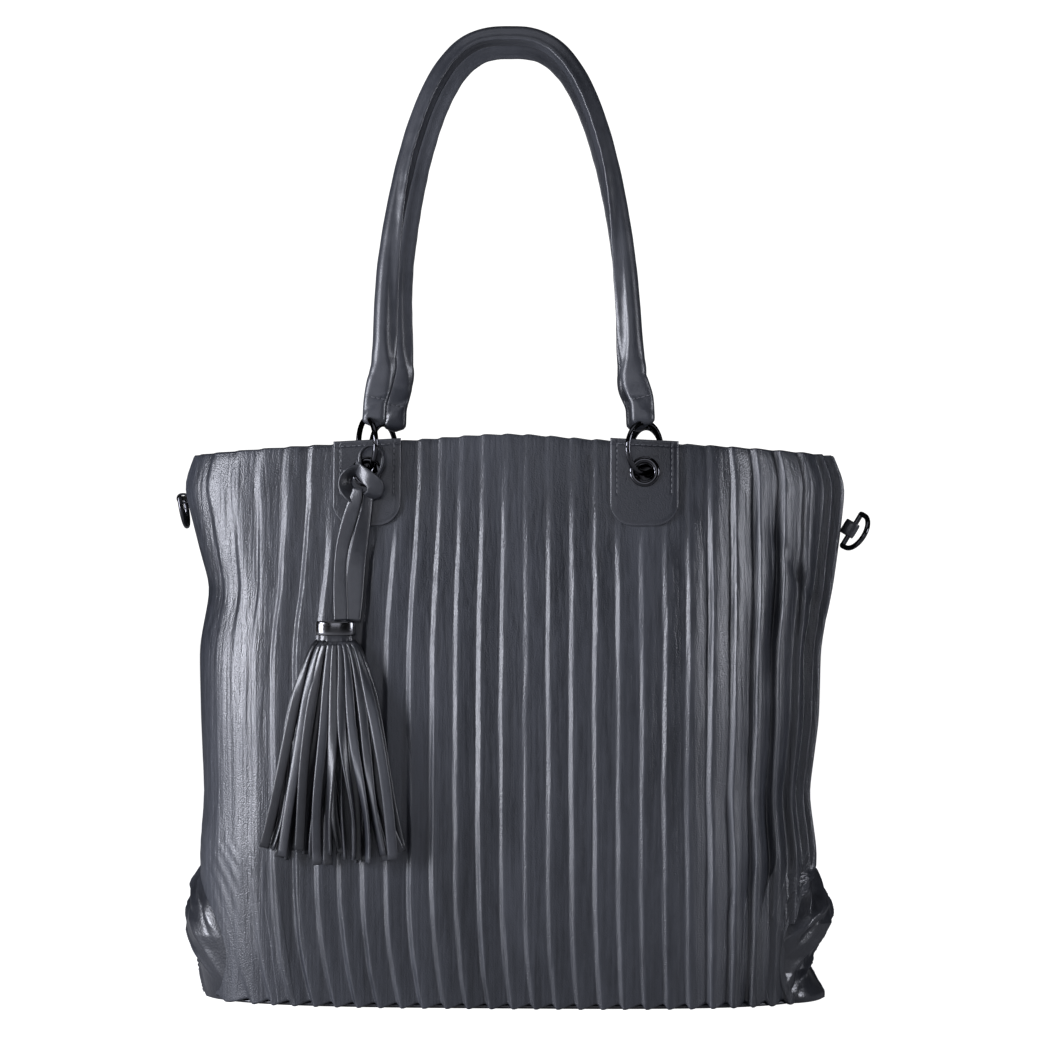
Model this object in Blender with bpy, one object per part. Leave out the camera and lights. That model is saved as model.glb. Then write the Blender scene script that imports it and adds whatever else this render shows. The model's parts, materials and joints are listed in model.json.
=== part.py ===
"""Pleated leather tote with gusseted sides, ring-hung handles and a strip tassel.

Metres, +Z up, +X to the bag's right in the front view, +Y into the bag from the front.
The bag stands on its base at z = 0, centred on the origin.
"""
import math

import bmesh
import bpy
import numpy as np

# main sizes
BAG_HEIGHT = 0.333          # rim above the floor at the middle of the front
BAG_WIDTH = 0.370           # across the waist
BAG_DEPTH = 0.140           # front to back at the base
RIM_DROP = 0.0095           # rim lower at the sides than at the middle
BODY_SQUARENESS = 3.2       # exponent of the plan outline, 2 is an ellipse
WALL = 0.0016               # leather thickness of the body
PLEAT_DEPTH = 0.0032
PLEATS_PER_HALF = 32
PLEAT_RECEDE = 0.72         # share of a pleat taken by its broad face
SEAM_STRIP = 0.014          # unpleated strip down each side
TAB_FLATTENING = 0.75       # share of the pleat depth pressed out beneath a tab
FIT = 0.0003                # clearance between neighbouring pieces
BASE_THICKNESS = 0.0025

# tabs and eyelets
TAB_WIDTH = 0.040
TAB_HEIGHT = 0.051
TAB_THICKNESS = 0.0018
TAB_CORNER = 0.014
TAB_SPACING = 0.163         # centre of the left tab to centre of the right tab
TAB_RISE = 0.0012           # tab above the rim
EYELET_BELOW_RIM = 0.0195
EYELET_HOLE = 0.0104        # diameter
EYELET_FLANGE = 0.018       # diameter
EYELET_BARREL_WALL = 0.0008
EYELET_PLATE = 0.0008
EYELET_DOME = 0.0009

# handle rings and handles
RING_OUTER = 0.033          # diameter
RING_WIRE = 0.0033          # diameter
RING_YAW_LEFT = 25.0        # degrees that the front of each ring leans to the middle
RING_YAW_RIGHT = 40.0
HANDLE_REACH = 0.2155       # height of the handle's bend above its straight foot
HANDLE_TUBE = 0.0116        # diameter
HANDLE_FLANGE = 0.0034      # stitched seam beyond the tube
HANDLE_FLANGE_THICKNESS = 0.0018
HANDLE_TOP_SPACING = 0.045  # front handle to back handle at the top
HANDLE_END_WIDTH = 0.018
HANDLE_END_THICKNESS = 0.0090
HANDLE_BELOW_WIRE = 0.0062  # leather below the middle of the ring's wire

# side rings
SIDE_RING_INNER = 0.019     # opening along the straight bar
SIDE_RING_REACH = 0.017     # bar to the far side of the bow
SIDE_RING_WIRE = 0.0031
KEEPER_LENGTH = 0.011
KEEPER_THICKNESS = 0.0014
SIDE_RING_LEFT_BELOW_RIM = 0.0345
SIDE_RING_LEFT_LEAN = 15.0  # degrees inward from straight down
SIDE_RING_RIGHT_BELOW_RIM = 0.0535
SIDE_RING_RIGHT_SLANT = 31.0
SIDE_RING_RIGHT_TURN = 65.0  # how far the bow has swung forward round its bar

# tassel
TASSEL_X = -0.0985
COLLAR_HEIGHT = 0.0082
COLLAR_WIDTH = 0.0236
COLLAR_DEPTH = 0.0125
COLLAR_WALL = 0.0012
COLLAR_MIDDLE_Z = 0.2222
TASSEL_BOTTOM_Z = 0.0885
TASSEL_SPREAD = 0.089       # width across the strip ends
TASSEL_DEPTH = 0.0115       # depth across the strip ends
TASSEL_STRIPS_PER_SIDE = 12
STRIP_GAP = 0.0006
STRAP_WIDTH = 0.0198
STRAP_THICKNESS = 0.0040
LOOP_OUTER_WIDTH = 0.0160
LOOP_OUTER_HEIGHT = 0.0190
LOOP_THICKNESS = 0.0019
LOOP_DEPTH = 0.0036

# height: share of BAG_HEIGHT; left and right: share of half BAG_WIDTH; depth: share of half BAG_DEPTH
SECTIONS = [
    {"height": 0.000, "left": 0.990, "right": 0.975, "depth": 1.000},
    {"height": 0.090, "left": 0.998, "right": 0.985, "depth": 1.015},
    {"height": 0.180, "left": 1.003, "right": 0.990, "depth": 1.025},
    {"height": 0.260, "left": 1.008, "right": 0.998, "depth": 1.030},
    {"height": 0.365, "left": 0.993, "right": 0.972, "depth": 1.030},
    {"height": 0.500, "left": 1.004, "right": 1.004, "depth": 1.015},
    {"height": 0.630, "left": 1.010, "right": 1.010, "depth": 0.985},
    {"height": 0.740, "left": 0.985, "right": 1.050, "depth": 0.930},
    {"height": 0.830, "left": 1.023, "right": 1.072, "depth": 0.875},
    {"height": 0.920, "left": 1.066, "right": 1.090, "depth": 0.825},
    {"height": 1.000, "left": 1.012, "right": 1.030, "depth": 0.790},
]

# gusset window, an ellipse in the side view, and how far the gusset puffs out at each height
WINDOW_MIDDLE_Z = 0.028
WINDOW_HALF_HEIGHT = 0.049
WINDOW_HALF_WIDTH = 0.048
GUSSET_PUFF = 0.0120
PUFFS = [
    {"height": 0.00, "puff": 0.08},
    {"height": 0.12, "puff": 0.20},
    {"height": 0.27, "puff": 0.38},
    {"height": 0.40, "puff": 0.62},
    {"height": 0.50, "puff": 0.92},
    {"height": 0.60, "puff": 1.00},
    {"height": 0.72, "puff": 0.84},
    {"height": 0.87, "puff": 0.42},
    {"height": 1.00, "puff": 0.05},
]

LEATHER = (0.034, 0.037, 0.046, 1.0)
LEATHER_DARK = (0.026, 0.028, 0.035, 1.0)
GUNMETAL = (0.020, 0.020, 0.022, 1.0)

for old in list(bpy.data.objects):
    bpy.data.objects.remove(old, do_unlink=True)


def column(rows, name):
    return np.array([row[name] for row in rows])


def finish_object(name, verts, faces, colour, metallic=0.0, roughness=0.45):
    mesh = bpy.data.meshes.new(name)
    mesh.from_pydata([tuple(map(float, v)) for v in verts], [], faces)
    mesh.validate()
    bm = bmesh.new()
    bm.from_mesh(mesh)
    bmesh.ops.recalc_face_normals(bm, faces=bm.faces)
    bm.to_mesh(mesh)
    bm.free()
    body = bpy.data.objects.new(name, mesh)
    bpy.context.scene.collection.objects.link(body)
    material = bpy.data.materials.new(name + "_surface")
    material.use_nodes = True
    shader = material.node_tree.nodes["Principled BSDF"]
    shader.inputs["Base Color"].default_value = colour
    shader.inputs["Metallic"].default_value = metallic
    shader.inputs["Roughness"].default_value = roughness
    mesh.materials.append(material)
    return body


def boolean(body, verts, faces, operation="DIFFERENCE"):
    tool = finish_object(body.name + "_tool", verts, faces, LEATHER)
    tool.hide_render = True
    tool.display_type = "WIRE"
    cut = body.modifiers.new("shape", "BOOLEAN")
    cut.operation = operation
    cut.solver = "EXACT"
    cut.object = tool
    return tool


def loft(rings, caps=True, around=True):
    # rings: equal lists of points; consecutive rings are joined by quads
    verts = [p for ring in rings for p in ring]
    count = len(rings[0])
    faces = []
    for j in range(len(rings) - 1):
        for i in range(count):
            k = (i + 1) % count
            faces.append((j * count + i, j * count + k, (j + 1) * count + k, (j + 1) * count + i))
    if caps:
        faces.append(tuple(reversed(range(count))))
        faces.append(tuple(range((len(rings) - 1) * count, len(rings) * count)))
    return verts, faces


def closed_loft(rings):
    # a loft whose last ring joins its first
    verts = [p for ring in rings for p in ring]
    count = len(rings[0])
    faces = []
    for j in range(len(rings)):
        m = (j + 1) % len(rings)
        for i in range(count):
            k = (i + 1) % count
            faces.append((j * count + i, j * count + k, m * count + k, m * count + i))
    return verts, faces


# plan outline of the body
POWER = 2.0 / BODY_SQUARENESS
HALF_W = BAG_WIDTH / 2
HALF_D = BAG_DEPTH / 2


def reach(z):
    h = np.asarray(z) / BAG_HEIGHT
    heights = column(SECTIONS, "height")
    left = np.interp(h, heights, column(SECTIONS, "left")) * HALF_W
    right = np.interp(h, heights, column(SECTIONS, "right")) * HALF_W
    depth = np.interp(h, heights, column(SECTIONS, "depth")) * HALF_D
    return left, right, depth


def wall(t, z, offset=0.0):
    """Point of the ridge envelope at plan angle t and height z, moved outward by offset."""
    t = np.asarray(t, dtype=float)
    z = np.asarray(z, dtype=float)
    left, right, depth = reach(z)
    c = np.cos(t)
    s = np.sin(t)
    across = np.where(c < 0, left, right)
    x = across * np.sign(c) * np.abs(c) ** POWER
    y = depth * np.sign(s) * np.abs(s) ** POWER
    nx = np.sign(c) * np.abs(c) ** (2 - POWER) / across
    ny = np.sign(s) * np.abs(s) ** (2 - POWER) / depth
    size = np.sqrt(nx * nx + ny * ny)
    return x + offset * nx / size, y + offset * ny / size, z + 0 * x


def angle_at_x(x, z, front=True):
    left, right, depth = reach(z)
    across = np.where(np.asarray(x) < 0, left, right)
    share = np.clip(np.abs(x) / across, 0, 1) ** (1 / POWER)
    t = np.arccos(np.sign(x) * share)
    return -t if front else t


def wall_y(x, z, offset=0.0, front=True):
    t = angle_at_x(x, z, front)
    return float(wall(t, z, offset)[1])


def rim_height(x):
    return BAG_HEIGHT - RIM_DROP * (np.asarray(x) / (HALF_W * 1.05)) ** 2


# shares of the half perimeter where each ridge and valley stands
dense = np.linspace(-math.pi, 0, 4001)
dx, dy, _ = wall(dense, 0.5 * BAG_HEIGHT)
run = np.concatenate([[0], np.cumsum(np.hypot(np.diff(dx), np.diff(dy)))])
HALF_RUN = run[-1]
edge = SEAM_STRIP / 2 / HALF_RUN
step = (1 - 2 * edge) / PLEATS_PER_HALF
shares = []
levels = []
for k in range(PLEATS_PER_HALF):
    shares += [edge + k * step, edge + (k + PLEAT_RECEDE) * step]
    levels += [0.0, 1.0]
shares.append(1 - edge)
levels.append(0.0)
half_t = np.interp(np.array(shares) * HALF_RUN, run, dense)
PLEAT_T = np.concatenate([half_t, half_t + math.pi])
PLEAT_LEVEL = np.array(levels + levels)


def press(x, z):
    """1 beneath a tab, 0 away from it."""
    near = np.clip((TAB_WIDTH / 2 + 0.008 - np.abs(np.abs(x) - TAB_SPACING / 2)) / 0.006, 0, 1)
    low = BAG_HEIGHT - TAB_HEIGHT
    return near * np.clip((z - low + 0.012) / 0.010, 0, 1)


def shell_rings():
    outer = []
    inner = []
    for row in SECTIONS:
        level = row["height"] * BAG_HEIGHT
        x0 = wall(PLEAT_T, level)[0]
        top = max(0.0, (row["height"] - 0.74) / 0.26)
        z = level - (BAG_HEIGHT - rim_height(x0)) * top
        if row["height"] == 0:
            z = np.zeros_like(x0)
        depth = PLEAT_DEPTH * (1 - TAB_FLATTENING * press(x0, z)) * (1 + 0.25 * x0 / HALF_W)
        x, y, z = wall(PLEAT_T, z, -depth * PLEAT_LEVEL)
        outer.append(list(zip(x, y, z)))
        x, y, z = wall(PLEAT_T, z, -depth * PLEAT_LEVEL - WALL)
        inner.append(list(zip(x, y, z)))
    return outer, inner


def prism_x(points, x0, x1):
    near = [(x0, p[0], p[1]) for p in points]
    far = [(x1, p[0], p[1]) for p in points]
    return loft([near, far])


WINDOW_TURN = np.linspace(0, math.pi, 15)
WINDOW_Z = WINDOW_MIDDLE_Z - WINDOW_HALF_HEIGHT * np.cos(WINDOW_TURN)
WINDOW_Y = WINDOW_HALF_WIDTH * np.sin(WINDOW_TURN)


def window_width(z):
    return np.interp(z, WINDOW_Z, WINDOW_Y)


def frame_at(x, z, front=True):
    """Point of the ridge envelope with its outward, sideways and upward directions."""
    gap = 0.004
    p = np.array([x, wall_y(x, z, 0, front), z])
    a = np.array([x + gap, wall_y(x + gap, z, 0, front), z])
    b = np.array([x, wall_y(x, z + gap, 0, front), z + gap])
    side = (a - p) / np.linalg.norm(a - p)
    up = (b - p) / np.linalg.norm(b - p)
    out = np.cross(side, up)
    out /= np.linalg.norm(out)
    if (out[1] > 0) == front:
        out = -out
    up = np.cross(out, side)
    if up[2] < 0:
        up = -up
    return p, out, side, up


def lathe(profile, origin, axis, side, up, count, turn=0.0):
    """Closed profile of (radius, along) pairs turned about the axis."""
    rings = []
    for k in range(count):
        angle = 2 * math.pi * (k + 0.5) / count + turn
        spoke = math.cos(angle) * side + math.sin(angle) * up
        rings.append([origin + r * spoke + h * axis for r, h in profile])
    return closed_loft(rings)


def cylinder(origin, axis, side, up, radius, low, high, count, turn=0.0):
    rings = []
    for h in (low, high):
        ring = []
        for k in range(count):
            angle = 2 * math.pi * (k + 0.5) / count + turn
            ring.append(origin + radius * (math.cos(angle) * side + math.sin(angle) * up) + h * axis)
        rings.append(ring)
    return loft(rings)


def tube(path, tangents_up, radius, count, closed=True):
    """Round wire along a path that lies in one plane with normal tangents_up."""
    path = np.array(path)
    rings = []
    total = len(path)
    for k in range(total):
        ahead = path[(k + 1) % total] if closed or k < total - 1 else path[k]
        behind = path[k - 1] if closed or k > 0 else path[k]
        along = (ahead - behind) / np.linalg.norm(ahead - behind)
        first = np.cross(tangents_up, along)
        first /= np.linalg.norm(first)
        ring = []
        for i in range(count):
            angle = 2 * math.pi * i / count
            ring.append(path[k] + radius * (math.cos(angle) * first + math.sin(angle) * tangents_up))
        rings.append(ring)
    return closed_loft(rings) if closed else loft(rings)


EYELET_X = TAB_SPACING / 2
EYELET_Z = BAG_HEIGHT - EYELET_BELOW_RIM
EYELET_OUT = EYELET_HOLE / 2 + EYELET_BARREL_WALL
PRESSED = PLEAT_DEPTH * 1.15 * (1 - TAB_FLATTENING)
STACK_BACK = -(PRESSED + WALL + FIT)
STACK_FRONT = FIT + TAB_THICKNESS + FIT
POSTS = [("left", -1), ("right", 1)]
FACES = [("front", True), ("back", False)]

# pleated body
outer, inner = shell_rings()
count = len(PLEAT_T)
rows = len(outer)
verts = [p for ring in outer for p in ring] + [p for ring in inner for p in ring]
faces = []
skin = rows * count
for j in range(rows - 1):
    for i in range(count):
        k = (i + 1) % count
        faces.append((j * count + i, j * count + k, (j + 1) * count + k, (j + 1) * count + i))
        low = skin + j * count
        high = skin + (j + 1) * count
        faces.append((low + k, low + i, high + i, high + k))
for i in range(count):
    k = (i + 1) % count
    faces.append((k, i, skin + i, skin + k))
    top = (rows - 1) * count
    faces.append((top + i, top + k, skin + top + k, skin + top + i))
shell = finish_object("pleated_shell", verts, faces, LEATHER)

outline = list(zip(WINDOW_Y, WINDOW_Z)) + list(zip(-WINDOW_Y[1:-1], WINDOW_Z[1:-1]))[::-1]
for side_name, sign in POSTS:
    boolean(shell, *prism_x(outline, sign * 0.60 * HALF_W, sign * 1.5 * HALF_W))
    for face_name, front in FACES:
        p, out, side, up = frame_at(sign * EYELET_X, EYELET_Z, front)
        boolean(shell, *cylinder(p, out, side, up, EYELET_OUT + FIT, -0.010, 0.010, 14))

# base panel
inset = -(PLEAT_DEPTH * 1.25 + WALL + FIT)
around = np.linspace(-math.pi, math.pi, 37)[:-1]
rings = []
for z, extra in ((0.0, 0.0), (BASE_THICKNESS, 0.0)):
    x, y, _ = wall(around, 0.0, inset)
    rings.append([(a, b, z) for a, b in zip(x, y)])
finish_object("base_panel", *loft(rings), LEATHER_DARK)

# gussets
GUSSET_TOP = WINDOW_MIDDLE_Z + WINDOW_HALF_HEIGHT * 0.990 - FIT
for side_name, sign in POSTS:
    centre_t = 0.0 if sign > 0 else math.pi
    levels_z = np.array([0.0, 0.13, 0.28, 0.42, 0.54, 0.66, 0.79, 0.92, 1.0]) * GUSSET_TOP
    across = np.linspace(-1, 1, 11)
    skins = []
    for layer in (0, 1):
        grid = []
        for z in levels_z:
            left, right, depth = reach(z)
            half = float(window_width(z)) - FIT - 0.0003
            top_t = math.asin(min(1.0, (half / float(depth)) ** (1 / POWER)))
            fine = np.linspace(0, top_t, 400)
            fx, fy, _ = wall(fine, z)
            length = np.concatenate([[0], np.cumsum(np.hypot(np.diff(fx), np.diff(fy)))])
            t = np.sign(across) * np.interp(np.abs(across) * length[-1], length, fine)
            puff = GUSSET_PUFF * np.interp(z / GUSSET_TOP, column(PUFFS, "height"), column(PUFFS, "puff"))
            rise = -0.0016 + puff * (1 - across ** 2) ** 0.9 - layer * WALL
            angle = t if sign > 0 else math.pi - t
            x, y, zz = wall(angle, z, rise)
            grid.append(list(zip(x, y, zz)))
        skins.append(grid)
    rows = len(levels_z)
    cols = len(across)
    verts = [p for grid in skins for line in grid for p in line]
    faces = []
    for j in range(rows - 1):
        for i in range(cols - 1):
            a = j * cols + i
            faces.append((a, a + 1, a + cols + 1, a + cols))
            b = a + rows * cols
            faces.append((b + 1, b, b + cols, b + cols + 1))
    border = [(0, i) for i in range(cols)] + [(j, cols - 1) for j in range(1, rows)]
    border += [(rows - 1, i) for i in range(cols - 2, -1, -1)] + [(j, 0) for j in range(rows - 2, 0, -1)]
    for n, (j, i) in enumerate(border):
        m, k = border[(n + 1) % len(border)]
        a = j * cols + i
        b = m * cols + k
        faces.append((b, a, a + rows * cols, b + rows * cols))
    finish_object("gusset_" + side_name, verts, faces, LEATHER_DARK)

# tabs, eyelets, handle rings
ring_centres = {}
RING_MEAN = (RING_OUTER - RING_WIRE) / 2
for side_name, sign in POSTS:
    for face_name, front in FACES:
        centre_x = sign * EYELET_X
        # outline of the tab in its own plane: straight sides, square top, rounded foot
        columns = np.linspace(-1, 1, 9)
        body_rows = []
        low_z = BAG_HEIGHT - TAB_HEIGHT
        shape = []
        for u in columns:
            beyond = max(0.0, abs(u) * TAB_WIDTH / 2 - (TAB_WIDTH / 2 - TAB_CORNER)) / TAB_CORNER
            shape.append(low_z + TAB_CORNER * (1 - math.sqrt(max(0.0, 1 - min(1.0, beyond) ** 2))))
        marks = [0.0, 0.36, 0.70, 1.0]
        skins = []
        for layer in (0, 1):
            grid = []
            for mark in marks:
                line = []
                for u, foot in zip(columns, shape):
                    x = centre_x + u * TAB_WIDTH / 2
                    top = float(rim_height(x)) + TAB_RISE
                    z = foot + (top - foot) * mark
                    zz = min(z, float(rim_height(x)))
                    y = wall_y(x, zz, FIT + 0.0001 + layer * TAB_THICKNESS, front)
                    line.append((x, y, z))
                grid.append(line)
            skins.append(grid)
        rows = len(marks)
        cols = len(columns)
        verts = [p for grid in skins for line in grid for p in line]
        faces = []
        for j in range(rows - 1):
            for i in range(cols - 1):
                a = j * cols + i
                faces.append((a, a + cols, a + cols + 1, a + 1))
                b = a + rows * cols
                faces.append((b, b + 1, b + cols + 1, b + cols))
        border = [(0, i) for i in range(cols)] + [(j, cols - 1) for j in range(1, rows)]
        border += [(rows - 1, i) for i in range(cols - 2, -1, -1)] + [(j, 0) for j in range(rows - 2, 0, -1)]
        for n, (j, i) in enumerate(border):
            m, k = border[(n + 1) % len(border)]
            a = j * cols + i
            b = m * cols + k
            faces.append((a, b, b + rows * cols, a + rows * cols))
        place = face_name + "_" + side_name
        tab = finish_object("tab_" + place, verts, faces, LEATHER_DARK)
        p, out, side, up = frame_at(centre_x, EYELET_Z, front)
        boolean(tab, *cylinder(p, out, side, up, EYELET_OUT + FIT, -0.010, 0.010, 14))

        hole = EYELET_HOLE / 2
        flange = EYELET_FLANGE / 2
        back = STACK_BACK - 0.0001
        face = STACK_FRONT + 0.0002
        profile = [
            (hole, back - EYELET_PLATE * 0.4),
            (hole, face + EYELET_PLATE * 0.4),
            (hole + 0.0012, face + EYELET_DOME),
            (flange - 0.0014, face + EYELET_DOME * 0.9),
            (flange, face),
            (EYELET_OUT, face),
            (EYELET_OUT, back),
            (flange - 0.0006, back),
            (flange - 0.0012, back - EYELET_PLATE),
            (hole + 0.0010, back - EYELET_PLATE),
        ]
        finish_object("eyelet_" + place, *lathe(profile, p, out, side, up, 12), GUNMETAL, 1.0, 0.28)

        # ring through the eyelet and over the rim
        middle = p + out * (STACK_BACK + STACK_FRONT) / 2
        yaw = math.radians(RING_YAW_LEFT if sign < 0 else RING_YAW_RIGHT)
        room = hole - RING_WIRE / 2 - FIT
        half_stack = (STACK_FRONT - STACK_BACK) / 2 + EYELET_DOME + FIT
        passing = half_stack / math.cos(yaw)
        aside = passing * math.sin(yaw)
        arch = RING_MEAN - math.sqrt(RING_MEAN ** 2 - passing ** 2)
        low_point = math.sqrt(room ** 2 - aside ** 2) - arch - abs(out[2]) * half_stack
        across_dir = np.array([-sign * math.sin(yaw), -math.cos(yaw) if front else math.cos(yaw), 0.0])
        centre = middle + np.array([0, 0, low_point + RING_MEAN])
        ring_centres[place] = (centre, across_dir)
        rise = np.array([0.0, 0.0, 1.0])
        path = []
        for k in range(16):
            angle = 2 * math.pi * (k + 0.5) / 16
            path.append(centre + RING_MEAN * (math.cos(angle) * across_dir + math.sin(angle) * rise))
        flat = np.cross(across_dir, rise)
        finish_object("handle_ring_" + place, *tube(path, flat, RING_WIRE / 2, 6), GUNMETAL, 1.0, 0.22)

# handles
for face_name, front in FACES:
    left_ring, left_dir = ring_centres[face_name + "_left"]
    right_ring, right_dir = ring_centres[face_name + "_right"]
    top_y = (-1 if front else 1) * HANDLE_TOP_SPACING / 2
    foot_z = left_ring[2] + RING_MEAN
    foot_y = left_ring[1]
    bend = HANDLE_REACH
    half = TAB_SPACING / 2 - 0.0052
    turn = np.linspace(0, math.pi, 19)
    path = []
    for a in turn:
        c = math.cos(a)
        s = math.sin(a)
        x = half * np.sign(c) * abs(c) ** (2 / 2.8)
        h = abs(s) ** (2 / 1.6)
        path.append([x, 0, foot_z + 0.0165 + bend * h])
    path = [[TAB_SPACING / 2, 0, foot_z - HANDLE_BELOW_WIRE], [TAB_SPACING / 2, 0, foot_z + 0.002]] + path
    path += [[-TAB_SPACING / 2, 0, foot_z + 0.002], [-TAB_SPACING / 2, 0, foot_z - HANDLE_BELOW_WIRE]]
    path = np.array(path)
    lift = np.clip((path[:, 2] - foot_z) / (bend + 0.0165), 0, 1)
    path[:, 1] = foot_y + (top_y - foot_y) * lift ** 1.15
    rings = []
    for n, point in enumerate(path):
        ahead = path[min(n + 1, len(path) - 1)]
        behind = path[max(n - 1, 0)]
        along = (ahead - behind) / np.linalg.norm(ahead - behind)
        depth_dir = np.array([0.0, 1.0, 0.0])
        inward = np.cross(along, depth_dir)
        inward /= np.linalg.norm(inward)
        if inward @ (np.array([0, point[1], foot_z + 0.3 * bend]) - point) < 0:
            inward = -inward
        thick = np.cross(inward, along)
        end = min(n, len(path) - 1 - n)
        blend = {0: 1.0, 1: 1.0, 2: 0.72, 3: 0.25}.get(end, 0.0)
        radius = HANDLE_TUBE / 2
        half_w = radius + (HANDLE_END_WIDTH / 2 - radius) * blend
        half_t = radius + (HANDLE_END_THICKNESS / 2 - radius) * blend
        if end == 0:
            half_w *= 0.80
            half_t *= 0.80
        fin = HANDLE_FLANGE * (1 - blend)
        fin_t = HANDLE_FLANGE_THICKNESS / 2
        ring = []
        for k in range(8):
            angle = math.pi * 2 * (k + 0.5) / 8 + math.pi / 8
            ring.append([-half_w * math.cos(angle), half_t * math.sin(angle)])
        # the vertex facing inward is split in two to carry the seam flange
        shape = []
        for u, v in ring:
            if u > half_w * 0.98:
                shape.append([half_w * 0.98 + fin, fin_t if blend < 1 else fin_t])
                shape.append([half_w * 0.98 + fin, -fin_t])
            else:
                shape.append([u, v])
        rings.append([point + u * inward + v * thick for u, v in shape])
    handle = finish_object("handle_" + face_name, *loft(rings), LEATHER)
    for centre, across_dir in ((left_ring, left_dir), (right_ring, right_dir)):
        rise = np.array([0.0, 0.0, 1.0])
        arc = []
        for angle in np.linspace(math.radians(35), math.radians(145), 9):
            arc.append(centre + RING_MEAN * (math.cos(angle) * across_dir + math.sin(angle) * rise))
        flat = np.cross(across_dir, rise)
        boolean(handle, *tube(arc, flat, (RING_WIRE / 2 + FIT) * 1.10, 8, closed=False))


# side rings and their leather keepers
def side_ring(name, middle, bar, bow):
    half = (SIDE_RING_INNER + SIDE_RING_WIRE) / 2
    length = SIDE_RING_REACH
    path = [middle - half * bar, middle - half * 0.33 * bar, middle + half * 0.33 * bar, middle + half * bar]
    for angle in np.linspace(0, math.pi, 9):
        path.append(middle + half * math.cos(angle) * bar + (length * (0.28 + 0.72 * math.sin(angle))) * bow)
    return finish_object(name, *tube(path, np.cross(bar, bow), SIDE_RING_WIRE / 2, 6), GUNMETAL, 1.0, 0.22)


def side_keeper(name, middle, bar, toward, foot):
    """Leather eye around the bar with a foot reaching toward the wall."""
    up = np.cross(bar, toward)
    bore = SIDE_RING_WIRE / 2 * 1.02 + FIT
    skin = bore + KEEPER_THICKNESS
    rings = []
    for h in (-KEEPER_LENGTH / 2, KEEPER_LENGTH / 2):
        hole = []
        rim = []
        for k in range(12):
            angle = 2 * math.pi * (k + 0.5) / 12
            c = math.cos(angle)
            s = math.sin(angle)
            hole.append(middle + bore * 1.04 * (c * toward + s * up) + h * bar)
            size = skin if c < 0.2 else skin
            stretch = foot / (skin * c) if c > 0.6 else 1.0
            rim.append(middle + size * ((c * max(stretch, 1.0)) * toward + s * up) + h * bar)
        rings.append((hole, rim))
    (h0, r0), (h1, r1) = rings
    return finish_object(name, *closed_loft([[h0[k], r0[k], r1[k], h1[k]] for k in range(12)]), LEATHER_DARK)


LEFT_HEIGHT = BAG_HEIGHT - SIDE_RING_LEFT_BELOW_RIM
RIGHT_HEIGHT = BAG_HEIGHT - SIDE_RING_RIGHT_BELOW_RIM
left_reach = float(reach(LEFT_HEIGHT)[0])
right_reach = float(reach(RIGHT_HEIGHT)[1])
KEEPER_OUT = SIDE_RING_WIRE / 2 + FIT + KEEPER_THICKNESS + FIT + 0.0003
lean = math.radians(SIDE_RING_LEFT_LEAN)
left_middle = np.array([-left_reach - KEEPER_OUT, 0.0, LEFT_HEIGHT])
left_bar = np.array([0.0, 1.0, 0.0])
left_bow = np.array([math.sin(lean) * 0.62, 0.0, -math.cos(lean)])
left_bow /= np.linalg.norm(left_bow)
side_ring("side_ring_left", left_middle, left_bar, left_bow)
side_keeper("side_keeper_left", left_middle, left_bar, np.array([1.0, 0.0, 0.0]), KEEPER_OUT - FIT - 0.0002)
slant = math.radians(SIDE_RING_RIGHT_SLANT)
right_middle = np.array([right_reach + KEEPER_OUT + 0.0030, 0.0, RIGHT_HEIGHT])
right_bar = np.array([math.sin(slant), 0.0, math.cos(slant)])
right_out = np.array([math.cos(slant), 0.0, -math.sin(slant)])
turn = math.radians(SIDE_RING_RIGHT_TURN)
right_bow = math.cos(turn) * right_out + math.sin(turn) * np.array([0.0, -1.0, 0.0])
side_ring("side_ring_right", right_middle, right_bar, right_bow)
side_keeper("side_keeper_right", right_middle, right_bar, -right_out, KEEPER_OUT + 0.0008)

# tassel strap: a band looped on the front left ring, a knot and two tails
ring_middle, ring_dir = ring_centres["front_left"]
knot_x = -TAB_SPACING / 2 - 0.0040
LOOP_OUT = 0.55 * RING_MEAN
loop_y = ring_middle[1] - LOOP_OUT
far = LOOP_OUT + LOOP_DEPTH / 2
wire_low = ring_middle[2] - math.sqrt(RING_MEAN ** 2 - far ** 2)
hole_top = wire_low + RING_WIRE / 2 * RING_MEAN / math.sqrt(RING_MEAN ** 2 - far ** 2) + 7 * FIT
loop_top = hole_top + LOOP_THICKNESS
loop_x = ring_middle[0] + ring_dir[0] * LOOP_OUT
rings = []
for k in range(14):
    angle = 2 * math.pi * k / 14
    ring = []
    for grow, dy in ((0, -1), (0, 1), (1, 1), (1, -1)):
        rx = LOOP_OUTER_WIDTH / 2 - LOOP_THICKNESS * (1 - grow)
        rz = LOOP_OUTER_HEIGHT / 2 - LOOP_THICKNESS * (1 - grow)
        ring.append(np.array([
            loop_x + rx * math.cos(angle),
            loop_y + dy * LOOP_DEPTH / 2,
            loop_top - LOOP_OUTER_HEIGHT / 2 + rz * math.sin(angle),
        ]))
    rings.append(ring)
loop_parts = closed_loft(rings)
knot_top = loop_top - LOOP_OUTER_HEIGHT + LOOP_THICKNESS * 0.9
collar_y = wall_y(TASSEL_X, COLLAR_MIDDLE_Z) - FIT * 2 - COLLAR_DEPTH / 2
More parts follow.
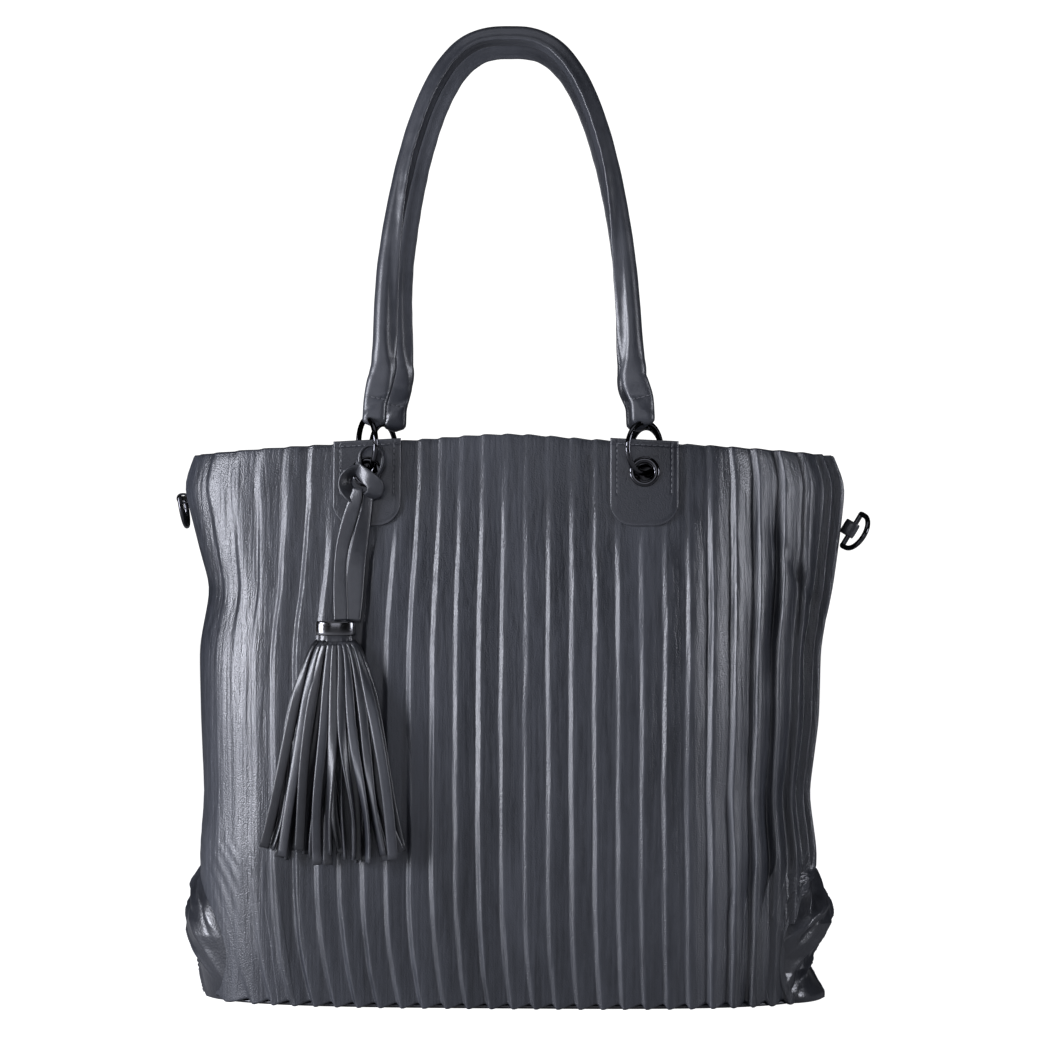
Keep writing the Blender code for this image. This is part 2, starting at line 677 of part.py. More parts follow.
# height: share of the way from the knot's top to the strap's end; width, thickness: shares of the strap's own
STRAP = [
    {"down": 0.00, "width": 0.45, "thick": 1.5, "across": 0.00},
    {"down": 0.06, "width": 1.15, "thick": 2.0, "across": 0.05},
    {"down": 0.16, "width": 1.12, "thick": 2.1, "across": 0.10},
    {"down": 0.27, "width": 1.02, "thick": 1.5, "across": 0.25},
    {"down": 0.40, "width": 1.00, "thick": 1.0, "across": 0.45},
    {"down": 0.70, "width": 1.00, "thick": 1.0, "across": 0.85},
    {"down": 1.00, "width": 0.90, "thick": 1.0, "across": 1.00},
]
strap_end = COLLAR_MIDDLE_Z + 0.0006
rings = []
for row in STRAP:
    z = knot_top + (strap_end - knot_top) * row["down"]
    x = knot_x + (TASSEL_X - knot_x) * row["across"]
    w = STRAP_WIDTH * row["width"] / 2
    h = STRAP_THICKNESS * row["thick"] / 2
    clear_y = wall_y(x, z) - TAB_THICKNESS - 4 * FIT - h
    y = min(clear_y, loop_y + (collar_y - loop_y) * row["across"])
    groove = 0.25 if row["down"] > 0.3 else 0.85
    ring = []
    face = ((-1, -0.35), (-0.85, -1), (-0.15, -1), (0, -groove), (0.15, -1), (0.85, -1), (1, -0.35))
    section = face + ((0.9, 1), (-0.9, 1))
    for u, v in section:
        ring.append(np.array([x + u * w, y + v * h, z]))
    rings.append(ring)
strap = finish_object("tassel_strap", *loft(rings), LEATHER_DARK)
boolean(strap, *loop_parts, operation="UNION")

# collar
collar_centre = np.array([TASSEL_X, collar_y, COLLAR_MIDDLE_Z])
rings = []
for k in range(16):
    angle = 2 * math.pi * (k + 0.5) / 16
    c = math.cos(angle)
    s = math.sin(angle)
    ring = []
    for inset, h in ((0.0, -1), (0.0, 1), (COLLAR_WALL, 1), (COLLAR_WALL, -1)):
        ring.append(collar_centre + np.array([
            (COLLAR_WIDTH / 2 - inset) * c,
            (COLLAR_DEPTH / 2 - inset) * s,
            h * COLLAR_HEIGHT / 2,
        ]))
    rings.append(ring)
finish_object("tassel_collar", *closed_loft(rings), GUNMETAL, 1.0, 0.25)

# tassel: a head inside the collar that opens into flat strips
strips = TASSEL_STRIPS_PER_SIDE
head_w = COLLAR_WIDTH / 2 - COLLAR_WALL - FIT * 1.6
head_d = COLLAR_DEPTH / 2 - COLLAR_WALL - FIT * 1.6
u = np.linspace(-1, 1, strips + 1)
rim_u = np.concatenate([u, u[::-1][1:-1]])
rim_side = np.concatenate([-np.ones(strips + 1), np.ones(strips - 1)])


def rim_points(z, half_w, half_d, lean_x=0.0):
    y0 = min(collar_y, wall_y(TASSEL_X + lean_x, z) - half_d - 2 * FIT)
    arc = np.sqrt(np.clip(1 - rim_u ** 2, 0, 1))
    middle = TASSEL_X + lean_x
    return [np.array([middle + a * half_w, y0 + s * b * half_d, z]) for a, s, b in zip(rim_u, rim_side, arc)]


head_top = strap_end - 2 * FIT
head_low = COLLAR_MIDDLE_Z - COLLAR_HEIGHT / 2 - 0.0065
verts = rim_points(head_top, head_w * 0.98, head_d * 0.98)
verts += rim_points(COLLAR_MIDDLE_Z - COLLAR_HEIGHT / 2 - FIT, head_w * 0.98, head_d * 0.98)
verts += rim_points(head_low, head_w * 1.12, head_d * 1.10)
total = len(rim_u)
faces = [tuple(range(total))]
for j in range(2):
    for i in range(total):
        k = (i + 1) % total
        faces.append((j * total + i, (j + 1) * total + i, (j + 1) * total + k, j * total + k))
hub = len(verts)
verts.append(np.mean(verts[2 * total:3 * total], axis=0))
# fall: share of the way down; spread: share of the full spread; depth: share of the full depth
FALLS = [
    {"fall": 0.22, "spread": 0.52, "depth": 0.90},
    {"fall": 0.60, "spread": 0.85, "depth": 0.95},
    {"fall": 1.00, "spread": 1.00, "depth": 1.00},
]
for i in range(total):
    k = (i + 1) % total
    mid_u = (rim_u[i] + rim_u[k]) / 2
    side_sign = -1 if i < strips else 1
    before = (2 * total + i, 2 * total + k, hub)
    uneven = 0.0035 * math.sin(2.3 * i + 0.7)
    for row in FALLS:
        half_w = TASSEL_SPREAD / 2 * row["spread"]
        half_d = TASSEL_DEPTH / 2 * row["depth"]
        z = head_low + (TASSEL_BOTTOM_Z + uneven - head_low) * row["fall"]
        lean_x = -0.0040 * row["fall"]
        pinch = STRIP_GAP / 2 / half_w
        ends = []
        for m, inward in ((i, 1), (k, -1)):
            a = rim_u[m] + inward * pinch * (1 if i < strips else -1)
            b = max(math.sqrt(max(0.0, 1 - rim_u[m] ** 2)), 0.40)
            x = TASSEL_X + lean_x + a * half_w
            y0 = min(collar_y, wall_y(x, z) - half_d - 3 * FIT)
            ends.append(np.array([x, y0 + side_sign * b * half_d, z]))
        x = TASSEL_X + lean_x + mid_u * half_w
        y0 = min(collar_y, wall_y(x, z) - half_d - 3 * FIT)
        inner_point = np.array([x, y0 + side_sign * 0.10 * half_d, z])
        base = len(verts)
        verts += ends + [inner_point]
        now = (base, base + 1, base + 2)
        faces.append((before[0], now[0], now[1], before[1]))
        faces.append((before[1], now[1], now[2], before[2]))
        faces.append((before[2], now[2], now[0], before[0]))
        before = now
    faces.append(before)
finish_object("tassel", verts, faces, LEATHER_DARK)
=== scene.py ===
import json
import math
import bpy
import numpy as np
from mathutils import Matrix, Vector


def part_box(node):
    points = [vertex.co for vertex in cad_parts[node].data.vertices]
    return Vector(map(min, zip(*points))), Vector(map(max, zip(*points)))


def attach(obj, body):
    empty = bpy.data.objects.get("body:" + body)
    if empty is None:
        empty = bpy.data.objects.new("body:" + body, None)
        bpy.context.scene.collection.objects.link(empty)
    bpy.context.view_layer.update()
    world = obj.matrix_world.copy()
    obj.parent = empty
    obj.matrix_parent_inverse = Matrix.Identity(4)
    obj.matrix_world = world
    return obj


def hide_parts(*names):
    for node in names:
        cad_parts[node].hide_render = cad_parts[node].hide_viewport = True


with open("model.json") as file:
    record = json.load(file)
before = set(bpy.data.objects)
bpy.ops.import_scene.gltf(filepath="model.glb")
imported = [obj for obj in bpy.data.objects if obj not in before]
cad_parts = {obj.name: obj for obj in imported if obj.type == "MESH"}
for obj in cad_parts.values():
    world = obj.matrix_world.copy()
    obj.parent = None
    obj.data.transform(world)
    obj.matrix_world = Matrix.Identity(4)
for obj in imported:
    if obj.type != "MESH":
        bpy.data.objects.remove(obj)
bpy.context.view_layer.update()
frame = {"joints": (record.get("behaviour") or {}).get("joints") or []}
joints = {joint["name"]: joint for joint in frame["joints"]}

# camera
camera = {
    "distance": 2.0,         # to the middle of the bag
    "eyeHeight": 0.2854,
    "lookAtX": 0.0060,
    "turn": 2.6,             # degrees to the right of straight on
    "lens": 114.7,
    "film": 36,
}


def addObject(name, data):
    made = bpy.data.objects.new(name, data)
    bpy.context.scene.collection.objects.link(made)
    return made


def makeCamera():
    data = bpy.data.cameras.new("studioCamera")
    data.lens = camera["lens"]
    data.sensor_width = camera["film"]
    eye = addObject("studioCamera", data)
    turn = math.radians(camera["turn"])
    target = Vector((camera["lookAtX"], 0, camera["eyeHeight"]))
    back = Vector((math.sin(turn), -math.cos(turn), 0))
    eye.location = target + back * camera["distance"]
    eye.rotation_euler = (-back).to_track_quat("-Z", "Y").to_euler()
    bpy.context.scene.camera = eye


makeCamera()
print("camera placed")

# the bag's form
bag = {
    "height": 0.333,
    "width": 0.370,
    "depth": 0.140,
    "rimDrop": 0.0095,       # the rim falls by this much at rimDropReach from the middle
    "rimDropReach": 0.19425,
    "rimRise": 0.0032,       # and bulges up between the tabs
    "rimRiseReach": 0.042,
    "squareness": 3.2,
    "wall": 0.0016,
    "pleatDepth": 0.0034,
    "pleatsPerHalf": 32,
    "recede": 0.76,          # the broad face's share of a pleat
    "seamStrip": 0.014,
    "windowZ": 0.028,
    "windowHalfHeight": 0.049,
    "windowHalfWidth": 0.048,
    "rows": (38, 46),        # below rowSplit, just above the windows, and above it
    "rowSplit": 0.098,
    # height, left, right and depth as shares of the sizes above
    "sections": np.array([
        [0.000, 0.990, 0.975, 1.000],
        [0.090, 0.998, 0.985, 1.015],
        [0.180, 1.003, 0.990, 1.025],
        [0.260, 1.008, 0.998, 1.030],
        [0.365, 0.993, 0.972, 1.030],
        [0.500, 1.004, 1.004, 1.015],
        [0.630, 1.010, 1.010, 0.985],
        [0.740, 0.985, 1.050, 0.930],
        [0.830, 1.023, 1.072, 0.875],
        [0.920, 1.066, 1.090, 0.825],
        [1.000, 1.012, 1.030, 0.790],
    ]),
    # the bell curve's width in metres, and how many steps of heightStep it reaches each way
    "sectionBlur": (0.0055, 40),
    "windowBlur": (0.010, 60),
}
tabs = {
    "width": 0.040,
    "height": 0.051,
    "thickness": 0.0018,
    "corner": 0.014,
    "spacing": 0.163,
    "rise": 0.0012,
    "gap": 0.0002,           # between the tab and the wall's envelope
    "edgeRound": 0.0009,
    "furrow": (0.00022, 0.0006),     # under the stitches: depth and reach
    "swell": 0.00025,
    "stitchInset": 0.0040,
    "stitchPitch": 0.0034,
}
power = 2.0 / bag["squareness"]
heightStep = 0.0005
tableZ = np.linspace(-0.04, 0.38, 841)


def bent(v, p):
    # sign(v) |v|^p
    return np.sign(v) * np.abs(v) ** p


def smoothStep(v, low, high):
    # 3 q^2 - 2 q^3, with q from 0 at low to 1 at high
    q = np.clip((v - low) / (high - low), 0, 1)
    return q * q * (3 - 2 * q)


def blurred(values, spread, reach):
    # average over the heights nearby, weighed by the bell curve exp(-0.5 (dz / spread)^2)
    bell = np.exp(-0.5 * (np.arange(-reach, reach + 1) * heightStep / spread) ** 2)
    return np.convolve(np.pad(values, reach, mode="edge"), bell / bell.sum(), "valid")


def smoothTable(column, size):
    # half of a size at every height, read between the rows of the sections and blurred
    rows = np.interp(tableZ / bag["height"], bag["sections"][:, 0], bag["sections"][:, column] * size / 2)
    return blurred(rows, *bag["sectionBlur"])


leftTable = smoothTable(1, bag["width"])
rightTable = smoothTable(2, bag["width"])
depthTable = smoothTable(3, bag["depth"])


def sideReach(side, z):
    # half width of the bag on the left where side is below 0, otherwise on the right
    return np.where(side < 0, np.interp(z, tableZ, leftTable), np.interp(z, tableZ, rightTable))


def envelope(turn, z, offset=0.0):
    # superellipse in plan: x = a bent(cos t, p), y = b bent(sin t, p), then out along its normal by offset
    turn, z = np.broadcast_arrays(np.asarray(turn, float), np.asarray(z, float))
    c, s = np.cos(turn), np.sin(turn)
    a, b = sideReach(c, z), np.interp(z, tableZ, depthTable)
    nx, ny = bent(c, 2 - power) / a, bent(s, 2 - power) / b
    out = offset / np.hypot(nx, ny)
    return np.stack([a * bent(c, power) + out * nx, b * bent(s, power) + out * ny, z], -1)


def onWall(x, z, offset=0.0, front=True):
    # the point of the envelope at a given x: t = acos((|x| / a)^(1/p)) with x's sign
    x, z = np.broadcast_arrays(np.asarray(x, float), np.asarray(z, float))
    turn = np.arccos(np.sign(x) * np.clip(np.abs(x) / sideReach(x, z), 0, 1) ** (1 / power))
    point = envelope(-turn if front else turn, z, offset)
    return np.stack([x, point[..., 1], z], -1)


def rimHeight(x):
    # falls to the sides as a parabola, with a low bell curve between the tabs
    x = np.asarray(x)
    rise = bag["rimRise"] * np.exp(-(x / bag["rimRiseReach"]) ** 2)
    return bag["height"] + rise - bag["rimDrop"] * (x / bag["rimDropReach"]) ** 2


def straighten(turn, z):
    # ridges run straight down the face and follow the outline only near it: g' = (r g + (a - r) g^4) / a
    c = np.cos(turn)
    g = np.abs(c) ** power
    a = sideReach(c, z)
    r = bag["width"] / 2
    g = np.clip((r * g + (a - r) * g ** 4) / a, 0, 1)
    straight = np.arccos(np.sign(c) * g ** (1 / power))
    return np.where(np.sin(turn) < 0, -straight, straight)


# the way round half of the bag, front from left to right
denseTurn = np.linspace(-math.pi, 0, 4001)
densePoint = envelope(denseTurn, np.full(4001, bag["height"] / 2))
denseRun = np.concatenate([[0], np.cumsum(np.hypot(*np.diff(densePoint[:, :2], axis=0).T))])
halfRun = denseRun[-1]


def turnAt(share):
    # the turn at a share of the way round the half
    return np.interp(share * halfRun, denseRun, denseTurn)


def windowShare(z):
    # how far round the side the gusset window reaches at height z: an ellipse in side view
    inside = np.clip(1 - ((z - bag["windowZ"]) / bag["windowHalfHeight"]) ** 2, 0, 1)
    y = bag["windowHalfWidth"] * np.sqrt(inside)
    b = np.interp(z, tableZ, depthTable)
    turn = np.arcsin(np.clip(y / b, 0, 1) ** (1 / power))
    return 1 - np.interp(-turn, denseTurn, denseRun) / halfRun


windowZ = np.linspace(-0.04, 0.16, 401)
windowSoft = blurred(windowShare(windowZ), *bag["windowBlur"])


# mesh helpers
def gridFaces(rows, cols, closeCols=False, closeRows=False, start=0):
    # quad k joins points (r, c), (r, c+1), (r+1, c+1), (r+1, c)
    r = np.arange(rows if closeRows else rows - 1)
    c = np.arange(cols if closeCols else cols - 1)
    r, c = np.meshgrid(r, c, indexing="ij")
    r2, c2 = (r + 1) % rows, (c + 1) % cols
    quads = np.stack([r * cols + c, r * cols + c2, r2 * cols + c2, r2 * cols + c], -1)
    return quads.reshape(-1, 4) + start


def tubeFaces(rows, cols, closeRows=False):
    # a tube of rows rings of cols points, closed at its ends by a flat face each unless it closes on itself
    caps = [] if closeRows else [list(range(cols))[::-1], list(range((rows - 1) * cols, rows * cols))]
    return gridFaces(rows, cols, closeCols=True, closeRows=closeRows).tolist() + caps


def allRound(count):
    # angles once round, evenly spaced
    return np.linspace(0, 2 * math.pi, count, endpoint=False)


def slab(outer, inner, flip=False):
    # two skins of one grid with all four borders joined; the inner skin's faces take the second material
    rows, cols = outer.shape[:2]
    front = gridFaces(rows, cols)
    back = front[:, ::-1] + rows * cols
    ring = np.concatenate([
        np.arange(cols),
        np.arange(1, rows) * cols + cols - 1,
        (rows - 1) * cols + np.arange(cols - 2, -1, -1),
        np.arange(rows - 2, 0, -1) * cols,
    ])
    ahead = np.roll(ring, -1)
    edge = np.stack([ahead, ring, ring + rows * cols, ahead + rows * cols], -1)
    faces = np.concatenate([front, back, edge])
    slots = np.repeat([0, 1, 0], [len(front), len(back), len(edge)])
    points = np.concatenate([outer.reshape(-1, 3), inner.reshape(-1, 3)])
    return points, (faces[:, ::-1] if flip else faces).tolist(), slots


def makePiece(name, surface, materials, stands=(), body="bag_body", worn=None, shade=None):
    # surface: points, faces and perhaps each face's material; worn and shade: one number, or one per point
    points, faces, *faceSlots = surface
    mesh = bpy.data.meshes.new(name)
    mesh.from_pydata(np.asarray(points).reshape(-1, 3).tolist(), [], faces)
    for material in materials:
        mesh.materials.append(material)
    if len(materials) > 1:
        mesh.polygons.foreach_set("material_index", faceSlots[0].astype(np.int32))
    for key, values in (("worn", worn), ("shade", shade)):
        if values is not None:
            layer = mesh.attributes.new(name=key, type="FLOAT", domain="POINT")
            values = np.broadcast_to(np.ravel(values), (len(mesh.vertices),))
            layer.data.foreach_set("value", np.ascontiguousarray(values, dtype=np.float32))
    mesh.polygons.foreach_set("use_smooth", np.ones(len(mesh.polygons), bool))
    mesh.update()
    piece = addObject(name, mesh)
    if stands:
        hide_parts(*stands)
    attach(piece, body)
    return piece


def unit(v):
    # v / |v|
    return v / np.linalg.norm(v, axis=-1, keepdims=True)


def runAlong(path):
    # distance run along a path at each of its points
    return np.concatenate([[0], np.cumsum(np.linalg.norm(np.diff(path, axis=0), axis=1))])


def readAt(at, run, values):
    # the columns of a table read at given runs
    return np.stack([np.interp(at, run, values[:, i]) for i in range(values.shape[1])], -1)


def smoothPath(points, count, closed=False):
    # Catmull-Rom curve through the control points, then points spaced evenly by run
    points = np.asarray(points, float)
    if closed:
        p = np.concatenate([points[-1:], points, points[:2]])
    else:
        p = np.concatenate([2 * points[:1] - points[1:2], points, 2 * points[-1:] - points[-2:-1]])
    spans = len(points) if closed else len(points) - 1
    u = np.linspace(0, spans, spans * 24 + 1)[:, None]
    k = np.minimum(u.astype(int), spans - 1)[:, 0]
    f = u - k[:, None]
    p0, p1, p2, p3 = p[k], p[k + 1], p[k + 2], p[k + 3]
    square = (2 * p0 - 5 * p1 + 4 * p2 - p3) * f ** 2
    cube = (3 * p1 - p0 - 3 * p2 + p3) * f ** 3
    fine = 0.5 * (2 * p1 + (p2 - p0) * f + square + cube)
    run = runAlong(fine[:, :3])
    at = np.linspace(0, run[-1], count + 1)[:-1] if closed else np.linspace(0, run[-1], count)
    return readAt(at, run, fine)


def tangents(path, closed=False):
    if closed:
        return unit(np.roll(path, -1, 0) - np.roll(path, 1, 0))
    return unit(np.gradient(path, axis=0))


def squaredOff(v, along):
    # the direction v made square to along
    return unit(v - (v * along).sum(-1, keepdims=True) * along)


def sweep(path, sideways, width, thickness, sections=16, closed=False, roundness=0.35):
    # rounded bar carried along a path: w/2 bent(cos, r) sideways + t/2 bent(sin, r) normal
    along = tangents(path, closed)
    sideways = squaredOff(sideways, along)
    normal = np.cross(along, sideways)
    angle = allRound(sections) + 0.5 * math.pi / sections
    c, s = bent(np.cos(angle), roundness)[None, :, None], bent(np.sin(angle), roundness)[None, :, None]
    half = np.broadcast_to(np.asarray(width) / 2, (len(path),))[:, None, None]
    points = path[:, None] + half * c * sideways[:, None] + thickness / 2 * s * normal[:, None]
    return points.reshape(-1, 3), tubeFaces(len(path), sections, closed)


def wire(path, flat, radius, sections):
    # round wire of a closed path in a plane: path + r (cos a first + sin a flat)
    first = unit(np.cross(flat, tangents(path, True)))
    angle = allRound(sections)[None, :, None]
    points = path[:, None] + radius * (np.cos(angle) * first[:, None] + np.sin(angle) * flat[None, None])
    return points.reshape(-1, 3), tubeFaces(len(path), sections, True)


def joinParts(parts):
    points, faces, start = [], [], 0
    for p, f in parts:
        points.append(np.asarray(p).reshape(-1, 3))
        faces += [[i + start for i in face] for face in f]
        start += len(points[-1])
    return np.concatenate(points), faces


def turned(part):
    # faces the other way round
    return part[0], [list(face)[::-1] for face in part[1]]


# materials
def newGroup(name, inputs, outputs):
    group = bpy.data.node_groups.new(name, "ShaderNodeTree")
    for label, value in inputs:
        socket = group.interface.new_socket(name=label, in_out="INPUT", socket_type="NodeSocketFloat")
        socket.default_value = value
    for label in outputs:
        group.interface.new_socket(name=label, in_out="OUTPUT", socket_type="NodeSocketFloat")
    return group, group.nodes.new("NodeGroupInput").outputs, group.nodes.new("NodeGroupOutput").inputs


def node(tree, kind, links=(), **settings):
    made = tree.nodes.new("ShaderNode" + kind)
    for key, value in settings.items():
        setattr(made, key, value)
    for socket, value in links:
        if isinstance(value, bpy.types.NodeSocket):
            tree.links.new(value, made.inputs[socket])
        else:
            made.inputs[socket].default_value = value
    return made


def worked(tree, operation, a, b):
    return node(tree, "Math", [(0, a), (1, b)], operation=operation).outputs[0]


def times(tree, vector, factors):
    return node(tree, "VectorMath", [(0, vector), (1, factors)], operation="MULTIPLY").outputs[0]


def noise(tree, place, scale, detail, roughness=0.5, distortion=0.0):
    links = [("Vector", place), ("Scale", scale), ("Detail", detail), ("Roughness", roughness)]
    return node(tree, "TexNoise", links + [("Distortion", distortion)]).outputs["Fac"]


def ranged(tree, value, start, end, low=0.0, high=1.0):
    links = [("Value", value), ("From Min", start), ("From Max", end), ("To Min", low), ("To Max", high)]
    return node(tree, "MapRange", links).outputs[0]


def mixed(tree, share, first, second):
    return node(tree, "Mix", [(0, share), (6, first), (7, second)], data_type="RGBA").outputs[2]


def onPiece(tree):
    return node(tree, "TexCoord").outputs["Object"]


def makeGrainGroup():
    # height = 0.5 creases + streaks - 0.6 cells; tone = 0.7 slow rises + 0.3 creases + 0.22 (streaks - 0.5)
    inputs = [("Cells", 900.0), ("Creases", 160.0), ("Stretch", 1.0), ("Streaks", 0.0)]
    group, inlet, outlet = newGroup("leatherGrain", inputs, ["Height", "Tone"])
    place = onPiece(group)
    stretch = node(group, "CombineXYZ", [(0, 1.0), (1, 1.0), (2, inlet["Stretch"])]).outputs[0]
    stretched = times(group, place, stretch)
    cells = node(group, "TexVoronoi", [("Vector", place), ("Scale", inlet["Cells"])], feature="SMOOTH_F1")
    creases = noise(group, stretched, inlet["Creases"], 5.0, 0.62, 0.4)
    slow = noise(group, stretched, 22.0, 3.0)
    streaks = noise(group, times(group, place, (1.0, 1.0, 0.05)), 420.0, 2.0)
    raised = worked(group, "MULTIPLY", streaks, inlet["Streaks"])
    raised = worked(group, "ADD", worked(group, "MULTIPLY", creases, 0.5), raised)
    sunk = worked(group, "MULTIPLY", cells.outputs["Distance"], 0.6)
    group.links.new(worked(group, "SUBTRACT", raised, sunk), outlet["Height"])
    tone = worked(group, "ADD", worked(group, "MULTIPLY", slow, 0.7), worked(group, "MULTIPLY", creases, 0.3))
    lined = worked(group, "MULTIPLY", worked(group, "SUBTRACT", streaks, 0.5), inlet["Streaks"])
    group.links.new(worked(group, "ADD", tone, worked(group, "MULTIPLY", lined, 0.22)), outlet["Tone"])
    return group


def makeWearGroup():
    # where the worn attribute is high, broken up by noise
    group, inlet, outlet = newGroup("edgeWear", [("Amount", 0.5), ("Breakup", 240.0)], ["Mask"])
    worn = node(group, "Attribute", attribute_name="worn").outputs["Fac"]
    broken = ranged(group, noise(group, onPiece(group), inlet["Breakup"], 4.0), 0.3, 0.7, 0.35, 1.0)
    mask = worked(group, "MULTIPLY", worked(group, "MULTIPLY", worn, broken), inlet["Amount"])
    group.links.new(mask, outlet["Mask"])
    return group


grainGroup = makeGrainGroup()
wearGroup = makeWearGroup()

# tones: dark, light and worn; rough: the least and the most roughness; bump reaches reachMm deep
plainGrain = {
    "cells": 900.0, "creases": 160.0, "stretch": 1.0, "streaks": 0.0, "reachMm": 0.45, "shaded": False,
}
leathers = {
    "pleatLeather": {
        "tones": [(0.0125, 0.0138, 0.0172), (0.031, 0.0335, 0.0410), (0.075, 0.078, 0.088)],
        "rough": (0.31, 0.46), "cells": 1400.0, "creases": 360.0, "stretch": 0.25, "streaks": 1.8,
        "bump": 0.70, "reachMm": 0.32, "wear": 0.16,
    },
    "gussetLeather": {
        "tones": [(0.010, 0.0108, 0.0135), (0.020, 0.0215, 0.0260), (0.07, 0.072, 0.08)],
        "rough": (0.28, 0.38), "bump": 0.4, "wear": 0.4,
    },
    "tabLeather": {
        "tones": [(0.009, 0.010, 0.013), (0.018, 0.0195, 0.0245), (0.09, 0.092, 0.10)],
        "rough": (0.28, 0.38), "cells": 1400.0, "creases": 360.0, "bump": 0.40, "wear": 0.7,
    },
    "tubeLeather": {
        "tones": [(0.020, 0.0216, 0.0262), (0.037, 0.0392, 0.0460), (0.10, 0.102, 0.11)],
        "rough": (0.31, 0.41), "cells": 1300.0, "creases": 260.0, "bump": 0.26, "reachMm": 0.28, "wear": 0.4,
    },
    "stripLeather": {
        "tones": [(0.009, 0.0098, 0.0125), (0.022, 0.0235, 0.028), (0.10, 0.102, 0.11)],
        "rough": (0.28, 0.40), "cells": 1300.0, "creases": 280.0, "bump": 0.30, "reachMm": 0.3, "wear": 0.4,
        "shaded": True,
    },
    "suedeInside": {
        "tones": [(0.020, 0.020, 0.022), (0.045, 0.045, 0.048), (0.08, 0.08, 0.085)],
        "rough": (0.80, 0.95), "cells": 1500.0, "creases": 320.0, "bump": 0.6, "wear": 0.2,
    },
    "waxedThread": {
        "tones": [(0.055, 0.057, 0.064), (0.11, 0.112, 0.12), (0.25, 0.25, 0.26)],
        "rough": (0.45, 0.60), "cells": 2600.0, "creases": 900.0, "bump": 0.3, "wear": 0.3,
    },
}
metals = {
    "gunmetal": {"colour": (0.050, 0.050, 0.054), "rough": 0.10, "scratches": 0.06},
    "gunmetalBright": {"colour": (0.12, 0.12, 0.125), "rough": 0.16, "scratches": 0.06},
}


def newMaterial(name):
    material = bpy.data.materials.new(name)
    material.use_nodes = True
    return material, material.node_tree, material.node_tree.nodes["Principled BSDF"].inputs


def leather(name):
    look = {**plainGrain, **leathers[name]}
    material, tree, sockets = newMaterial(name)
    grain = node(tree, "Group", node_tree=grainGroup)
    for label in ("Cells", "Creases", "Stretch", "Streaks"):
        grain.inputs[label].default_value = look[label.lower()]
    mask = node(tree, "Group", node_tree=wearGroup)
    mask.inputs["Amount"].default_value = look["wear"]
    dark, light, wornTone = [(*tone, 1) for tone in look["tones"]]
    tone = grain.outputs["Tone"]
    colour = mixed(tree, ranged(tree, tone, 0.35, 0.65), dark, light)
    if look["shaded"]:       # each strip of the tassel has its own random tone, and the layers behind carry painted shade
        shade = node(tree, "Attribute", attribute_name="shade").outputs["Fac"]
        colour = times(tree, colour, ranged(tree, shade, 0.0, 1.0, 0.55, 1.35))
    tree.links.new(mixed(tree, mask.outputs["Mask"], colour, wornTone), sockets["Base Color"])
    tree.links.new(ranged(tree, tone, 0.35, 0.65, *look["rough"]), sockets["Roughness"])
    reach = look["reachMm"] / 1000
    links = [("Height", grain.outputs["Height"]), ("Strength", look["bump"]), ("Distance", reach)]
    tree.links.new(node(tree, "Bump", links).outputs[0], sockets["Normal"])
    sockets["Specular IOR Level"].default_value = 0.55
    return material


def metal(name):
    look = metals[name]
    material, tree, sockets = newMaterial(name)
    cloud = noise(tree, onPiece(tree), 420.0, 6.0, 0.7)
    low, high = look["rough"] - look["scratches"] / 2, look["rough"] + look["scratches"]
    tree.links.new(ranged(tree, cloud, 0.3, 0.7, low, high), sockets["Roughness"])
    dark, light = [(*[share * v for v in look["colour"]], 1) for share in (0.8, 1.15)]
    tree.links.new(mixed(tree, cloud, dark, light), sockets["Base Color"])
    sockets["Metallic"].default_value = 1.0
    return material


pleatLeather = leather("pleatLeather")
gussetLeather = leather("gussetLeather")
tabLeather = leather("tabLeather")
tubeLeather = leather("tubeLeather")
stripLeather = leather("stripLeather")
suede = leather("suedeInside")
thread = leather("waxedThread")
gunmetal = metal("gunmetal")
gunmetalBright = metal("gunmetalBright")
print("materials made")

